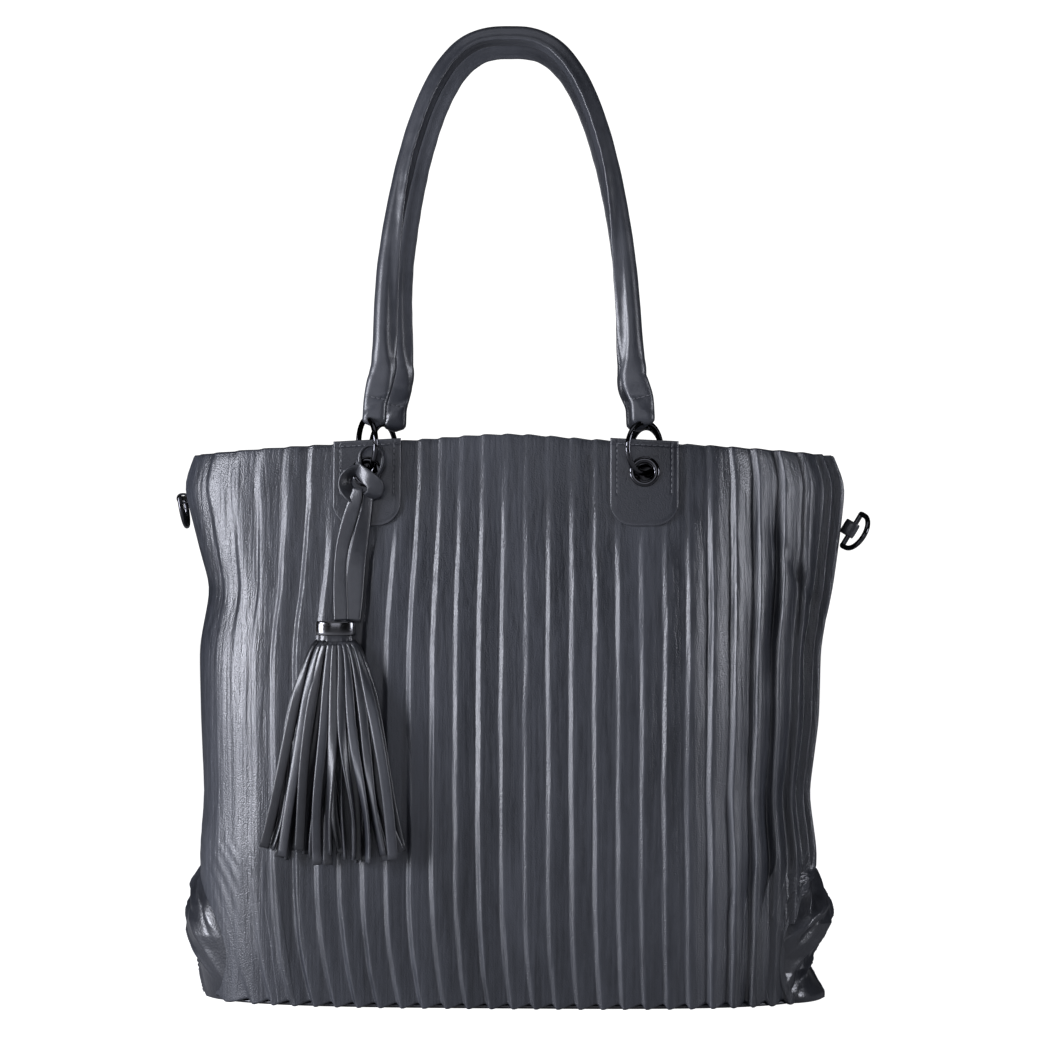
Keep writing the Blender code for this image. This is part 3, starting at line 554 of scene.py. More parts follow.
# pleated body
pleats = {
    # points across a pleat, from its ridge over the broad face to the next ridge
    "phases": np.array([0, .03, .08, .16, .26, .37, .48, .58, .67, .73, .76, .785, .825, .88, .94, .978]),
    "seamPoints": np.array([0, 0.35, 0.7, 0.93]),    # across half of the plain strip at a side seam
    "reachShare": 0.280,     # share of the half over which the wall's points crowd beside the gusset window
    "nearShare": 0.130,      # and over which they follow its edge closely
    # how deep the pleats stand from the left side (-1) to the right (1), as a share of pleatDepth
    "sideways": np.array([
        [-1.0, 0.22], [-0.86, 0.28], [-0.74, 0.48], [-0.45, 0.52], [0.2, 0.43], [0.42, 0.37],
        [0.60, 0.50], [0.70, 0.92], [0.79, 1.30], [0.86, 1.50], [1.0, 1.45],
    ]),
    # how far the ridges lean at the rim, in metres to the right, at shares of the half from left to right
    "rimLean": np.array([
        [0, 0], [0.10, 0.003], [0.20, 0.0092], [0.30, 0.0095], [0.42, 0.003], [0.52, 0],
        [0.68, -0.001], [0.82, -0.0050], [0.90, -0.0040], [1.0, 0],
    ]),
    # how much shallower the pleats get at the rim, from the left side (-1) to the right (1)
    "rimFade": np.array([
        [-1.0, 0.35], [-0.88, 0.45], [-0.72, 0.72], [0.62, 0.78], [0.75, 0.32], [1.0, 0.20],
    ]),
    # the lowest part of the ridges leans right on the left half, and a little left on the right half
    "sweepHeight": 0.080,
    "sweepLeft": 0.0140,
    "sweepRight": -0.0040,
    "backSweep": 0.3,        # shares of the sweep and the lean that the back has
    "backLean": 0.4,
    "beats": [(1.3, 0.5), (2.7, 0.32), (5.1, 0.20), (9.5, 0.10)],    # waves up each ridge: number and size
    "wobble": 0.035,         # of a pleat's pitch
    "unevenness": 0.20,      # of the depth from pleat to pleat
    "swing": 0.22,           # of the depth up each pleat
    "smoothed": 0.8,         # the worn smooth patch low on the left
    "tabPress": 0.76,
    "windowFade": 0.62,
    "dent": 0.0022,
    "tuck": 0.0020,
    "wrinkle": 0.00016,
    "hemLift": 0.0034,
    "rimSink": 0.0007,
    "seeds": {True: 11, False: 61},      # front and back
}
pleatCount = bag["pleatsPerHalf"]
seamEdge = bag["seamStrip"] / 2 / halfRun
pitch = (1 - 2 * seamEdge) / pleatCount


def pleatLevel(phase):
    # 0 on the ridge, 1 in the valley: a broad face that falls slowly, then a steep flank that climbs back
    v = bag["recede"]
    broad = np.clip(phase / v, 0, 1)
    flank = np.clip((phase - v) / (1 - v), 0, 1)
    fall = 0.55 * (1 - np.cos(math.pi * broad)) / 2 + 0.45 * broad ** 1.1
    climb = 1 - (0.25 * flank + 0.75 * (1 - np.cos(math.pi * flank)) / 2)
    return np.where(phase <= v, fall, climb)


def crowding(share, z):
    # the way points move from the window: a soft push over a wide reach, plus what is left over a short one
    wide = np.interp(z, windowZ, windowSoft)
    far = np.clip(1 - share / pleats["reachShare"], 0, 1) ** 2
    near = np.clip(1 - share / pleats["nearShare"], 0, 1) ** 2
    return wide * far + (windowShare(z) - wide) * near


def pressedByTab(x, z):
    # 1 behind a tab and 0 beyond 9 mm from its edges, with smooth steps between
    near = smoothStep(tabs["width"] / 2 + 0.009 - np.abs(np.abs(x) - tabs["spacing"] / 2), 0, 0.008)
    foot = bag["height"] - tabs["height"]
    return near * smoothStep(z, foot - 0.016, foot - 0.002)


def pleatPoints():
    # shares of the half where the wall has points, with each one's phase in its pleat and the pleat's number
    edge, strip = seamEdge, pleats["seamPoints"]
    phase = np.tile(pleats["phases"], pleatCount)
    index = np.repeat(np.arange(pleatCount), len(pleats["phases"]))
    share = np.concatenate([strip * edge, edge + (index + phase) * pitch, [1 - edge], 1 - edge * strip[::-1]])
    ends = len(strip), len(strip) + 1
    return share, np.pad(phase, ends), np.pad(index, ends, mode="edge")


def wallRows():
    # heights of the wall's points: closer together at the hem and the rim
    low, high = bag["rows"]
    below = np.linspace(0.0035, bag["rowSplit"], low, endpoint=False)
    above = np.linspace(bag["rowSplit"], 0.327, high)
    return np.concatenate([[0, 0.0011], below, above, [0.3318, bag["height"]]])


def ridgeWaves(rows, random):
    # slow waves up each ridge: the sum of size sin(2 pi beat pace z / height + start)
    waves = np.zeros((len(rows), pleatCount + 1))
    for beat, size in pleats["beats"]:
        pace = random.uniform(0.8, 1.2, pleatCount + 1)
        start = random.uniform(0, 6.28, pleatCount + 1)
        waves += size * np.sin(rows[:, None] / bag["height"] * 2 * math.pi * beat * pace + start)
    return waves


def placeRidges(share, index, waves, z, front):
    # share + wobble + sweep at the foot (1 - z / height)^2.2 + lean at the rim, all fading to the side seams
    between = (share - seamEdge) / pitch - index
    shift = (1 - between) * waves[:, index] + between * waves[:, np.minimum(index + 1, pleatCount)]
    inside = smoothStep(share, 0, 4 * seamEdge) * smoothStep(1 - share, 0, 4 * seamEdge)
    placed = share[None] + shift * pleats["wobble"] * pitch * inside
    foot = np.clip(1 - z / pleats["sweepHeight"], 0, 1) ** 2.2
    sweepX = pleats["sweepLeft"] + (pleats["sweepRight"] - pleats["sweepLeft"]) * share
    sweepX = sweepX * smoothStep(share, 0, 0.12) * smoothStep(1 - share, 0, 0.12)
    placed = placed + foot * sweepX[None] / halfRun * (1 if front else pleats["backSweep"])
    lean = np.interp(share, *pleats["rimLean"].T) * (1 if front else pleats["backLean"])
    return placed + lean[None] / halfRun * smoothStep(z, 0.195, 0.325)


def depthShare(side, x, z, beside, front):
    # deeper to the right, worn smooth low on the left, pressed by the tabs, fading at the windows and the rim
    depth = np.interp(side, *pleats["sideways"].T)
    patch = np.exp(-((side + 0.92) / 0.16) ** 2) * smoothStep(0.26 - z, 0, 0.05) * smoothStep(z, 0.0, 0.06)
    depth = depth * (1 - pleats["smoothed"] * patch * (1 if front else 0.5))
    depth = depth * (1 - pleats["tabPress"] * pressedByTab(x, z))
    nearWindow = (1 - smoothStep(beside, 0.0, 0.11)) * smoothStep(0.13 - z, 0, 0.09)
    depth = depth * (1 - pleats["windowFade"] * nearWindow)
    return depth * (1 - np.interp(side, *pleats["rimFade"].T) * smoothStep(z, 0.240, 0.326))


def wallDents(side, x, z, front):
    # a large soft dent high on the left; on the front also a pinched tuck high on the right and fine wrinkles
    dents = -pleats["dent"] * np.exp(-((side + 0.93) / 0.10) ** 2 - ((z - 0.240) / 0.022) ** 2)
    if front:
        tuck = (side - 0.93) + (z - 0.255) * 3.0
        dents = dents - pleats["tuck"] * np.exp(-(tuck / 0.020) ** 2 - ((z - 0.255) / 0.022) ** 2)
        patch = np.exp(-((side + 0.90) / 0.12) ** 2 - ((z - 0.095) / 0.045) ** 2)
        slanted = np.sin(1500 * (z * 0.35 + 0.62 * x) + 3 * np.sin(60 * z))
        dents = dents + pleats["wrinkle"] * slanted * patch
    return dents


def makeHalf(name, front):
    # the wall is the envelope drawn in by depth x pleatLevel, with dents; the inner skin lies one wall behind
    share, phase, index = pleatPoints()
    rows = wallRows()
    random = np.random.default_rng(pleats["seeds"][front])
    waves = ridgeWaves(rows, random)
    strength = np.clip(1 + pleats["unevenness"] * random.standard_normal(pleatCount), 0.6, 1.45)
    swing = 1 + pleats["swing"] * waves[:, :pleatCount]

    z = np.repeat(rows[:, None], len(share), 1)
    placed = placeRidges(share, index, waves, z, front)
    # points crowd beside the window, whose edge cuts across the ridges
    crowd = crowding(placed, z) - crowding(1 - placed, z)
    beside = np.minimum(placed + crowd, 1 - placed - crowd) - windowShare(z)
    still = np.abs(crowd) < 1e-6
    moved = np.where(still, phase[None], ((share[None] + crowd - seamEdge) / pitch) % 1)
    atSeam = (share + crowd < seamEdge) | (share + crowd > 1 - seamEdge)
    level = np.where(atSeam, 0, pleatLevel(moved))
    turn = straighten(turnAt(placed + crowd) + (0 if front else math.pi), z)

    x = envelope(turn, z)[..., 0]
    z = z - (bag["height"] - rimHeight(x)) * smoothStep(z, 0.70 * bag["height"], bag["height"])
    side = x / (bag["width"] / 2)
    depth = bag["pleatDepth"] * depthShare(side, x, z, beside, front) * strength[index] * swing[:, index]
    inward = wallDents(side, x, z, front) - depth * level
    hem = pleats["hemLift"] * level * (1 - smoothStep(z, 0.0, 0.03))
    z = z + hem - pleats["rimSink"] * level * smoothStep(z, 0.318, 0.334)
    outer = envelope(turn, z, inward)
    inner = envelope(turn, z, inward - bag["wall"])
    inner[0, :, 2] += 0.0002
    outer[..., 2] = np.maximum(z, 0.0002)
    inner[..., 2] = np.maximum(z, 0.0004)
    # the cut edge at the rim is rounded a little
    outer[-1] = 0.75 * outer[-1] + 0.25 * inner[-1]
    inner[-1] = 0.75 * inner[-1] + 0.25 * outer[-1]

    ridge = np.exp(-(np.minimum(moved, 1 - moved) / 0.055) ** 2) * (share > seamEdge) * (share < 1 - seamEdge)
    worn = ridge * (0.35 + 0.45 * np.clip(1 + waves[:, index], 0, 2)) + smoothStep(z, 0.330, 0.334) * 0.1
    worn = np.clip(worn, 0, 1)
    worn = np.concatenate([worn.ravel(), worn.ravel() * 0])
    skins, mesh = [pleatLeather, suede], slab(outer, inner)
    return makePiece(name, mesh, skins, ["pleated_shell"], worn=worn)


frontHalf = makeHalf("pleated_front", True)
backHalf = makeHalf("pleated_back", False)
print("pleated body made")

# gussets and base
gusset = {
    "grid": (110, 130),
    "puff": 0.0120,
    "setBack": 0.0030,       # of its edges behind the wall
    "thickness": 0.0015,
    "tuck": 0.0035,          # how far it reaches behind the window's edge
    "top": 0.0770,
    "fold": 0.0034,
    "folds": 30,
    "seeds": {-1: 4, 1: 6},
    "foldTilt": (0.35, 1.15),
    "foldY": (-0.046, 0.030),
    "foldZ": (0.006, 0.070),
    "foldThin": (0.0014, 0.0034),
    "foldLong": (0.012, 0.030),
    # how far the leather stands out at shares of the height, on the left side and on the right
    "puffs": {
        -1: np.array([
            [0.00, 0.08], [0.12, 0.20], [0.27, 0.38], [0.40, 0.62], [0.50, 0.92],
            [0.60, 1.00], [0.72, 0.84], [0.87, 0.42], [1.00, 0.05],
        ]),
        1: np.array([
            [0.00, 0.85], [0.05, 0.78], [0.14, 0.30], [0.24, -0.14], [0.35, 0.04], [0.46, 0.58],
            [0.60, 1.00], [0.72, 0.86], [0.87, 0.42], [1.00, 0.05],
        ]),
    },
}
base = {
    "around": 240,
    "shrink": [0.02, 0.35, 0.65, 0.85, 0.95, 0.985, 0.995, 1.0],     # from the middle to the edge
    "below": [0.0002] * 6 + [0.0004, 0.0009],
    "above": [0.0018, 0.0024] + [0.0027] * 6,
}


def gussetFolds(y, z, seed):
    # diagonal creases, each +-exp(-|across / thin|^1.4 - (along / long)^2)
    random = np.random.default_rng(seed)
    folds = np.zeros_like(z)
    for k in range(gusset["folds"]):
        keys = ("foldTilt", "foldY", "foldZ", "foldThin", "foldLong")
        tilt, cy, cz, thin, long = [random.uniform(*gusset[key]) for key in keys]
        across = (z - cz) * math.cos(tilt) - (y - cy) * math.sin(tilt)
        along = (z - cz) * math.sin(tilt) + (y - cy) * math.cos(tilt)
        crease = np.exp(-np.abs(across / thin) ** 1.4 - (along / long) ** 2)
        folds += random.uniform(0.5, 1.0) * crease * random.choice([-1, 1])
    return folds


def makeGusset(name, sign):
    # z runs up the window, u across it; offset = -set back + puff(z) (1 - u^2)^0.75 + diagonal folds
    rows, cols = gusset["grid"]
    z = np.linspace(0.0006, gusset["top"], rows)
    u = np.sin(np.linspace(-math.pi / 2, math.pi / 2, cols))
    share = windowShare(z) + gusset["tuck"] / halfRun
    away = -turnAt(1 - share[:, None] * np.abs(u)[None])     # 0 at the middle of the side
    turn = np.sign(u)[None] * away
    turn = turn if sign > 0 else math.pi - turn
    z = np.repeat(z[:, None], cols, 1)
    puff = gusset["puff"] * np.interp(z / gusset["top"], *gusset["puffs"][sign].T)
    inner = np.clip(1 - u[None] ** 2, 0, 1)
    folds = gussetFolds(u[None] * share[:, None] * halfRun, z, gusset["seeds"][sign])
    offset = (puff + 0.0014) * inner ** 0.75 - gusset["setBack"]
    offset = offset + gusset["fold"] * np.clip(folds, -1.3, 1.3) * inner ** 0.12
    mesh = slab(envelope(turn, z, offset), envelope(turn, z, offset - gusset["thickness"]), flip=sign < 0)
    worn = np.clip(np.abs(folds) * 0.35 + (1 - inner) ** 6 * 0.3, 0, 1)
    worn = np.concatenate([worn.ravel(), worn.ravel() * 0])
    makePiece(name + "_leather", mesh, [gussetLeather, suede], [name], worn=worn)


makeGusset("gusset_left", -1)
makeGusset("gusset_right", 1)


def makeBase():
    # rings of the plan outline drawn in towards the middle, on two levels, with a rounded edge
    count = base["around"]
    around = np.linspace(-math.pi, math.pi, count, endpoint=False)
    # on each side it follows the foot of the gusset: out by puff (1 - (y / half width)^2)^0.75
    y = envelope(around, np.zeros(count))[:, 1]
    halfWidth = bag["windowHalfWidth"] * math.sqrt(1 - (bag["windowZ"] / bag["windowHalfHeight"]) ** 2)
    foot = np.where(np.cos(around) < 0, gusset["puffs"][-1][0, 1], gusset["puffs"][1][0, 1]) * gusset["puff"]
    out = foot * np.clip(1 - (y / halfWidth) ** 2, 0, 1) ** 0.75 - gusset["setBack"]
    shrink = np.array(base["shrink"] + base["shrink"][::-1])
    points = envelope(around, np.zeros(count), out)[None] * shrink[:, None, None]
    points[..., 2] = np.array(base["below"] + base["above"])[:, None]
    surface = points, tubeFaces(len(shrink), count)
    makePiece("base_leather", surface, [gussetLeather], ["base_panel"], worn=0)


makeBase()
print("gussets and base made")

# stitches
stitchForm = {"length": 0.0025, "thick": 0.00062, "around": 6, "along": 5}


def stitchRows(places, along, out):
    # one capsule for each place, an ellipsoid of revolution along the seam: x = -cos a l/2, r = sin^0.6 a t/2
    lat = np.linspace(0, math.pi, stitchForm["along"] + 2)[1:-1]
    n = stitchForm["around"]
    lon = allRound(n)
    x = np.concatenate([[-1], np.repeat(-np.cos(lat), n), [1]]) * stitchForm["length"] / 2
    ring = np.concatenate([[0], np.repeat(np.sin(lat), n), [0]]) ** 0.6 * stitchForm["thick"] / 2
    turn = np.concatenate([[0], np.tile(lon, len(lat)), [0]])
    side = np.cross(along, out)[:, None]
    around = (ring * np.cos(turn))[None, :, None] * side + (ring * np.sin(turn))[None, :, None] * out[:, None]
    points = places[:, None] + x[None, :, None] * along[:, None] + around
    k = np.arange(n)
    lastRow = 1 + (len(lat) - 1) * n
    first = np.stack([0 * k, (k + 1) % n + 1, k + 1], -1)
    last = np.stack([0 * k + lastRow + n, lastRow + k, lastRow + (k + 1) % n], -1)
    starts = np.arange(len(places))[:, None, None] * points.shape[1]
    quads = (gridFaces(len(lat), n, closeCols=True, start=1)[None] + starts).reshape(-1, 4).tolist()
    tris = (np.concatenate([first, last])[None] + starts).reshape(-1, 3).tolist()
    return points.reshape(-1, 3), quads + tris


def stitchAlong(path, outward, gap):
    # stitches at even runs along a path that has an outward direction at each point
    run = runAlong(path)
    at = np.arange(gap / 2, run[-1], gap)
    along = unit(readAt(at, run, tangents(path)))
    return stitchRows(readAt(at, run, path), along, squaredOff(unit(readAt(at, run, outward)), along))


# tabs
def wallNormal(x, z, front):
    # cross product of the wall's directions along x and z
    gap = 0.002
    a = onWall(x + gap, z, 0, front) - onWall(x - gap, z, 0, front)
    b = onWall(x, z + gap, 0, front) - onWall(x, z - gap, 0, front)
    out = unit(np.cross(a, b))
    return out if front else -out


def tabOutline(u, centre):
    # lowest and highest z of the tab at x = centre + u w/2: the foot's corners are quarter circles
    half, corner = tabs["width"] / 2, tabs["corner"]
    beyond = np.clip((np.abs(u) * half - (half - corner)) / corner, 0, 1)
    low = bag["height"] - tabs["height"] + corner * (1 - np.sqrt(1 - beyond ** 2))
    return low, rimHeight(centre + u * half) + tabs["rise"]


def tabPoint(x, z, offset, front):
    # above the rim the tab stands straight up
    return np.stack([x, onWall(x, np.minimum(z, rimHeight(x)), offset, front)[..., 1], z], -1)


def makeTab(place, sign, front):
    # u across, v up; a quarter circle rounds the edge, and a shallow furrow runs under the stitches
    cols, rows = 90, 96
    u = np.sin(np.linspace(-math.pi / 2, math.pi / 2, cols))[None] * np.ones((rows, 1))
    v = (0.5 - 0.5 * np.cos(np.linspace(0, math.pi, rows)))[:, None] * np.ones((1, cols))
    centre = sign * tabs["spacing"] / 2
    half, inset, thick = tabs["width"] / 2, tabs["stitchInset"], tabs["thickness"]
    footZ = bag["height"] - tabs["height"]
    low, high = tabOutline(u, centre)
    x = centre + u * half
    z = low + (high - low) * v
    sideGap = (1 - np.abs(u)) * half
    edge = np.minimum(sideGap, np.minimum(z - low, high - z))
    roundOff = np.sqrt(np.clip(1 - (1 - np.clip(edge / tabs["edgeRound"], 0, 1)) ** 2, 0, 1))
    line = np.minimum(np.where(z > footZ + 0.018, np.abs(sideGap - inset), 1), np.abs(high - z - inset * 0.8))
    depth, reach = tabs["furrow"]
    relief = tabs["swell"] * smoothStep(edge, 0.001, 0.004) - depth * np.exp(-(line / reach) ** 2)
    outer = tabPoint(x, z, tabs["gap"] + thick * (0.5 + 0.5 * roundOff) + relief, front)
    inner = tabPoint(x, z, tabs["gap"] + thick * (0.5 - 0.5 * roundOff), front)
    worn = np.tile(np.exp(-(edge / 0.0009) ** 2).ravel() * 0.8, 2)
    mesh = slab(outer, inner, flip=not front)
    piece = makePiece("tab_leather_" + place, mesh, [tabLeather], ["tab_" + place], worn=worn)
    # two rows down the sides and one along the top
    top = float(rimHeight(centre)) + tabs["rise"] - inset * 0.8
    across = centre + np.linspace(-1, 1, 30) * (half - inset)
    up = np.linspace(footZ + 0.0185, top, 30)
    lines = [(np.full(30, centre + side * (half - inset)), up) for side in (-1, 1)]
    lines.append((across, rimHeight(across) + tabs["rise"] - inset * 0.8))
    lift = tabs["gap"] + thick + 0.00005
    seams = [
        stitchAlong(tabPoint(xx, zz, lift, front), wallNormal(xx, zz - 0.004, front), tabs["stitchPitch"])
        for xx, zz in lines
    ]
    return piece, seams


places = [
    (face + "_" + side, sign, face == "front")
    for face in ("front", "back") for side, sign in (("left", -1), ("right", 1))
]
tabPieces = {}
tabSeams = []
for place, sign, front in places:
    tabPieces[place], seams = makeTab(place, sign, front)
    tabSeams += seams
makePiece("tab_stitches", joinParts(tabSeams), [thread], worn=0)
print("tabs made")

# eyelets and rings
hardware = {
    "eyeletHole": 0.0104,
    "eyeletFlange": 0.0180,
    "eyeletDrop": 0.0195,    # of its middle below the bag's height
    "drill": 0.0064,         # radius of the holes through tab and wall
    "ringMean": 0.01485,
    "ringWire": 0.00165,
    "yaw": {"left": 25.0, "right": 40.0},   # how far each ring leans to the middle
}
upright = np.array([0, 0, 1.0])


def boxMiddle(name):
    low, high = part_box(name)
    return (np.array(low) + np.array(high)) / 2


def lathe(profile, origin, axis, side, up, count=72):
    # a profile of (r, h) points carried once round the axis: p = o + r (cos a side + sin a up) + h axis
    angle = allRound(count)[:, None, None]
    r, h = profile[None, :, 0, None], profile[None, :, 1, None]
    points = origin + r * (np.cos(angle) * side + np.sin(angle) * up) + h * axis
    return points.reshape(-1, 3), tubeFaces(count, len(profile), True)


def makeEyelet(place, origin, out, front):
    # a half round from the flange's edge over the crown into the hole, then the barrel, back plate and core
    side = unit(np.cross(out, upright)) * (-1 if front else 1)
    up = unit(np.cross(out, side))
    up = up if up[2] > 0 else -up
    hole, flange = hardware["eyeletHole"] / 2, hardware["eyeletFlange"] / 2
    bend = np.linspace(0, math.pi, 14)
    crown = [(hole + flange) / 2 + (flange - hole) / 2 * np.cos(bend), 0.0021 + 0.0017 * np.sin(bend) ** 0.75]
    plate = flange - 0.001
    back = [(hole + plate) / 2 - (plate - hole) / 2 * np.cos(bend), -0.0029 - 0.0008 * np.sin(bend) ** 0.8]
    barrel = [[hole, 0.0012], [hole, -0.0024]]
    core = [[hole + 0.0009, -0.0026], [hole + 0.0009, 0.0018]]
    profile = np.concatenate([np.transpose(crown), barrel, np.transpose(back), core])
    part = lathe(profile, origin, out, side, up)
    part = part if front else turned(part)
    makePiece("eyelet_metal_" + place, part, [gunmetal], ["eyelet_" + place])


def drill(piece, cuts):
    # takes round holes out of a closed piece: one cylinder for each (origin, axis) pair
    count = 40
    angle = allRound(count)
    parts = []
    for origin, axis in cuts:
        side = unit(np.cross(axis, upright))
        up = np.cross(side, axis)
        rim = hardware["drill"] * (np.cos(angle)[:, None] * side + np.sin(angle)[:, None] * up)
        points = np.concatenate([origin + rim - 0.012 * axis, origin + rim + 0.008 * axis])
        parts.append(turned((points, tubeFaces(2, count))))
    mesh = bpy.data.meshes.new("drillBit")
    points, faces = joinParts(parts)
    mesh.from_pydata(points.tolist(), [], faces)
    bit = addObject("drillBit", mesh)
    cut = piece.modifiers.new("hole", "BOOLEAN")
    cut.operation, cut.solver, cut.object = "DIFFERENCE", "MANIFOLD", bit
    bpy.context.view_layer.update()
    done = bpy.data.meshes.new_from_object(piece.evaluated_get(bpy.context.evaluated_depsgraph_get()))
    piece.modifiers.clear()
    piece.data = done
    bpy.data.objects.remove(bit)


def ringFrame(place, sign, front):
    # the ring's middle, the level direction in its plane, and the plane's normal
    yaw = math.radians(hardware["yaw"][place.split("_")[1]])
    across = np.array([-sign * math.sin(yaw), -math.cos(yaw) if front else math.cos(yaw), 0.0])
    return boxMiddle("handle_ring_" + place), across, np.cross(across, upright)


wallHoles = []
for place, sign, front in places:
    centre = onWall(sign * tabs["spacing"] / 2, bag["height"] - hardware["eyeletDrop"], 0, front)
    out = wallNormal(centre[0], centre[2], front)
    if front:                # the wall behind stays whole, so that the holes look into the dark bag
        wallHoles.append((centre, out))
    drill(tabPieces[place], [(centre, out)])
    makeEyelet(place, centre, out, front)
    centre, across, flat = ringFrame(place, sign, front)
    angle = allRound(96)[:, None]
    circle = centre + hardware["ringMean"] * (np.cos(angle) * across + np.sin(angle) * upright)
    ring = wire(circle, flat, hardware["ringWire"], 20)
    makePiece("ring_metal_" + place, ring, [gunmetal], ["handle_ring_" + place])
drill(frontHalf, wallHoles)
print("eyelets and rings made")

# handles
handleForm = {
    "tube": 0.0058,
    "flange": 0.0036,
    "flangeThick": 0.0019,
    "reach": 0.2130,
    "footRise": 0.0165,      # the bend's legs start this far above the ring
    "legInset": 0.0052,
    "bend": (2.8, 1.6),      # squareness of the loop, across and up
    "pathPoints": 320,
    "tipLength": 0.0045,
    "foldDepth": 0.0010,
    "finWave": 0.00012,
    "topSpacing": 0.045,
    "endWidth": 0.0172,
    "endThick": 0.0092,
    "flatLength": (0.014, 0.058),    # from the ends: flat up to the first, round from the second
    # how far each end hangs in from its tab's middle: front left, front right, back left, back right
    "endShift": {True: (0.0042, 0.0008), False: (0.0070, 0.0050)},
    # how far the fin turns away behind the tube, near the ends and at the top, in degrees
    "finTurn": {True: (14.0, 72.0), False: (18.0, 30.0)},
    "creases": [(0.030, 0.0022, 0.00020), (0.041, 0.0018, 0.00012)],     # from the end, width and depth
    "stitchPitch": 0.0033,
    "finStitchesFrom": 0.036,        # from the ends
    "endStitchPitch": 0.0031,
    "endStitchAt": 0.0165,
    "endRowHalf": 0.0062,
    "sections": 40,
}


def handlePath(front):
    # a superellipse's upper half, x = w bent(cos, 2 / a), z = foot + reach sin^(2 / b), leaning in to the top
    left, _, _ = ringFrame("front_left" if front else "back_left", -1, front)
    foot = left[2] + hardware["ringMean"]
    half, rise = tabs["spacing"] / 2, handleForm["footRise"]
    a, b = handleForm["bend"]
    turn = np.linspace(0, math.pi, 400)
    x = (half - handleForm["legInset"]) * bent(np.cos(turn), 2 / a)
    z = foot + rise + handleForm["reach"] * np.sin(turn) ** (2 / b)
    ends = np.array([[half, foot - 0.0048], [half - 0.0003, foot + 0.0040], [half - 0.0012, foot + 0.0120]])
    bend = np.stack([x, z], -1)[8:-8]
    flat = smoothPath(np.concatenate([ends, bend[::6], ends[::-1] * [-1, 1]]), handleForm["pathPoints"])
    lift = np.clip((flat[:, 1] - foot) / (handleForm["reach"] + rise), 0, 1)
    shiftLeft, shiftRight = handleForm["endShift"][front]
    flat[:, 0] += np.where(flat[:, 0] < 0, shiftLeft, -shiftRight) * (1 - smoothStep(lift, 0.0, 0.45))
    topY = (-1 if front else 1) * handleForm["topSpacing"] / 2
    y = left[1] + (topY - left[1]) * lift ** 1.15
    return np.stack([flat[:, 0], y, flat[:, 1]], -1), foot


def finDirections(path, foot, front):
    # to the inside of the loop and square to it, i cos t - s sin t and s cos t + i sin t by the fin's turn t
    along = tangents(path)
    inward = unit(np.cross(along, np.array([0, 1.0, 0])))
    toMiddle = ((np.array([0, 0, foot + 0.05]) - path) * inward).sum(-1, keepdims=True)
    inward = np.where(toMiddle < 0, -inward, inward)
    thick = np.cross(inward, along)
    height = path[:, 2] - foot
    low, top = np.radians(handleForm["finTurn"][front])
    turn = (low + (top - low) * smoothStep(height, 0.05, 0.16)) * smoothStep(height, 0.02, 0.05)
    c, s = np.cos(turn)[:, None], np.sin(turn)[:, None]
    return c * inward - s * thick, c * thick + s * inward


def tubeSections(run, fromEnd):
    # u, w = a circle with a flat fin, blended into a wide rounded bar near the ends, less creases and a fold
    form = handleForm
    flat = (1 - smoothStep(fromEnd, *form["flatLength"]))[:, None]
    tip = np.clip(fromEnd / form["tipLength"], 0, 1)
    tip = np.sqrt(np.clip(1 - (1 - tip) ** 2, 0.02, 1))[:, None]
    taper = (0.82 + 0.18 * smoothStep(fromEnd, 0.012, 0.032))[:, None]
    r = (form["tube"] * (1 + 0.015 * np.sin(run * 260) * np.sin(run * 47)))[:, None]
    n = form["sections"]
    angle = allRound(n) + math.pi / n
    fin = np.exp(-(np.minimum(angle, 2 * math.pi - angle) / 0.42) ** 8)[None]
    thinned = 1 - form["flangeThick"] / 2 / (form["tube"] * 0.36)
    u = np.cos(angle)[None] * r + fin * form["flange"] * (1 - flat)
    w = np.sin(angle)[None] * r * (1 - fin * thinned * (1 - flat))
    barU = bent(np.cos(angle), 0.55)[None] * form["endWidth"] / 2 * taper
    barW = bent(np.sin(angle), 0.55)[None] * form["endThick"] / 2
    u = (u * (1 - flat) + barU * flat) * tip
    w = (w * (1 - flat) + barW * flat) * tip
    crease = [depth * np.exp(-((fromEnd - at) / width) ** 2) for at, width, depth in form["creases"]]
    crease = sum(crease)[:, None]
    u = u - crease * np.sign(u)
    w = w - crease * np.sign(w)
    # a diagonal fold on the flat part, and small waves of the fin
    fold = smoothStep(fromEnd[:, None] - 0.0135 - u * 1.1, -0.0006, 0.0006)
    fold = fold * smoothStep(0.030 - fromEnd, 0, 0.012)[:, None] * form["foldDepth"]
    wave = form["finWave"] * np.sin(run * 520)[:, None] * fin * (1 - flat)
    worn = np.clip(fin * 0.12 + fold * 100 + crease * 1200, 0, 1)
    return u, w - fold * np.sign(w) + wave, worn


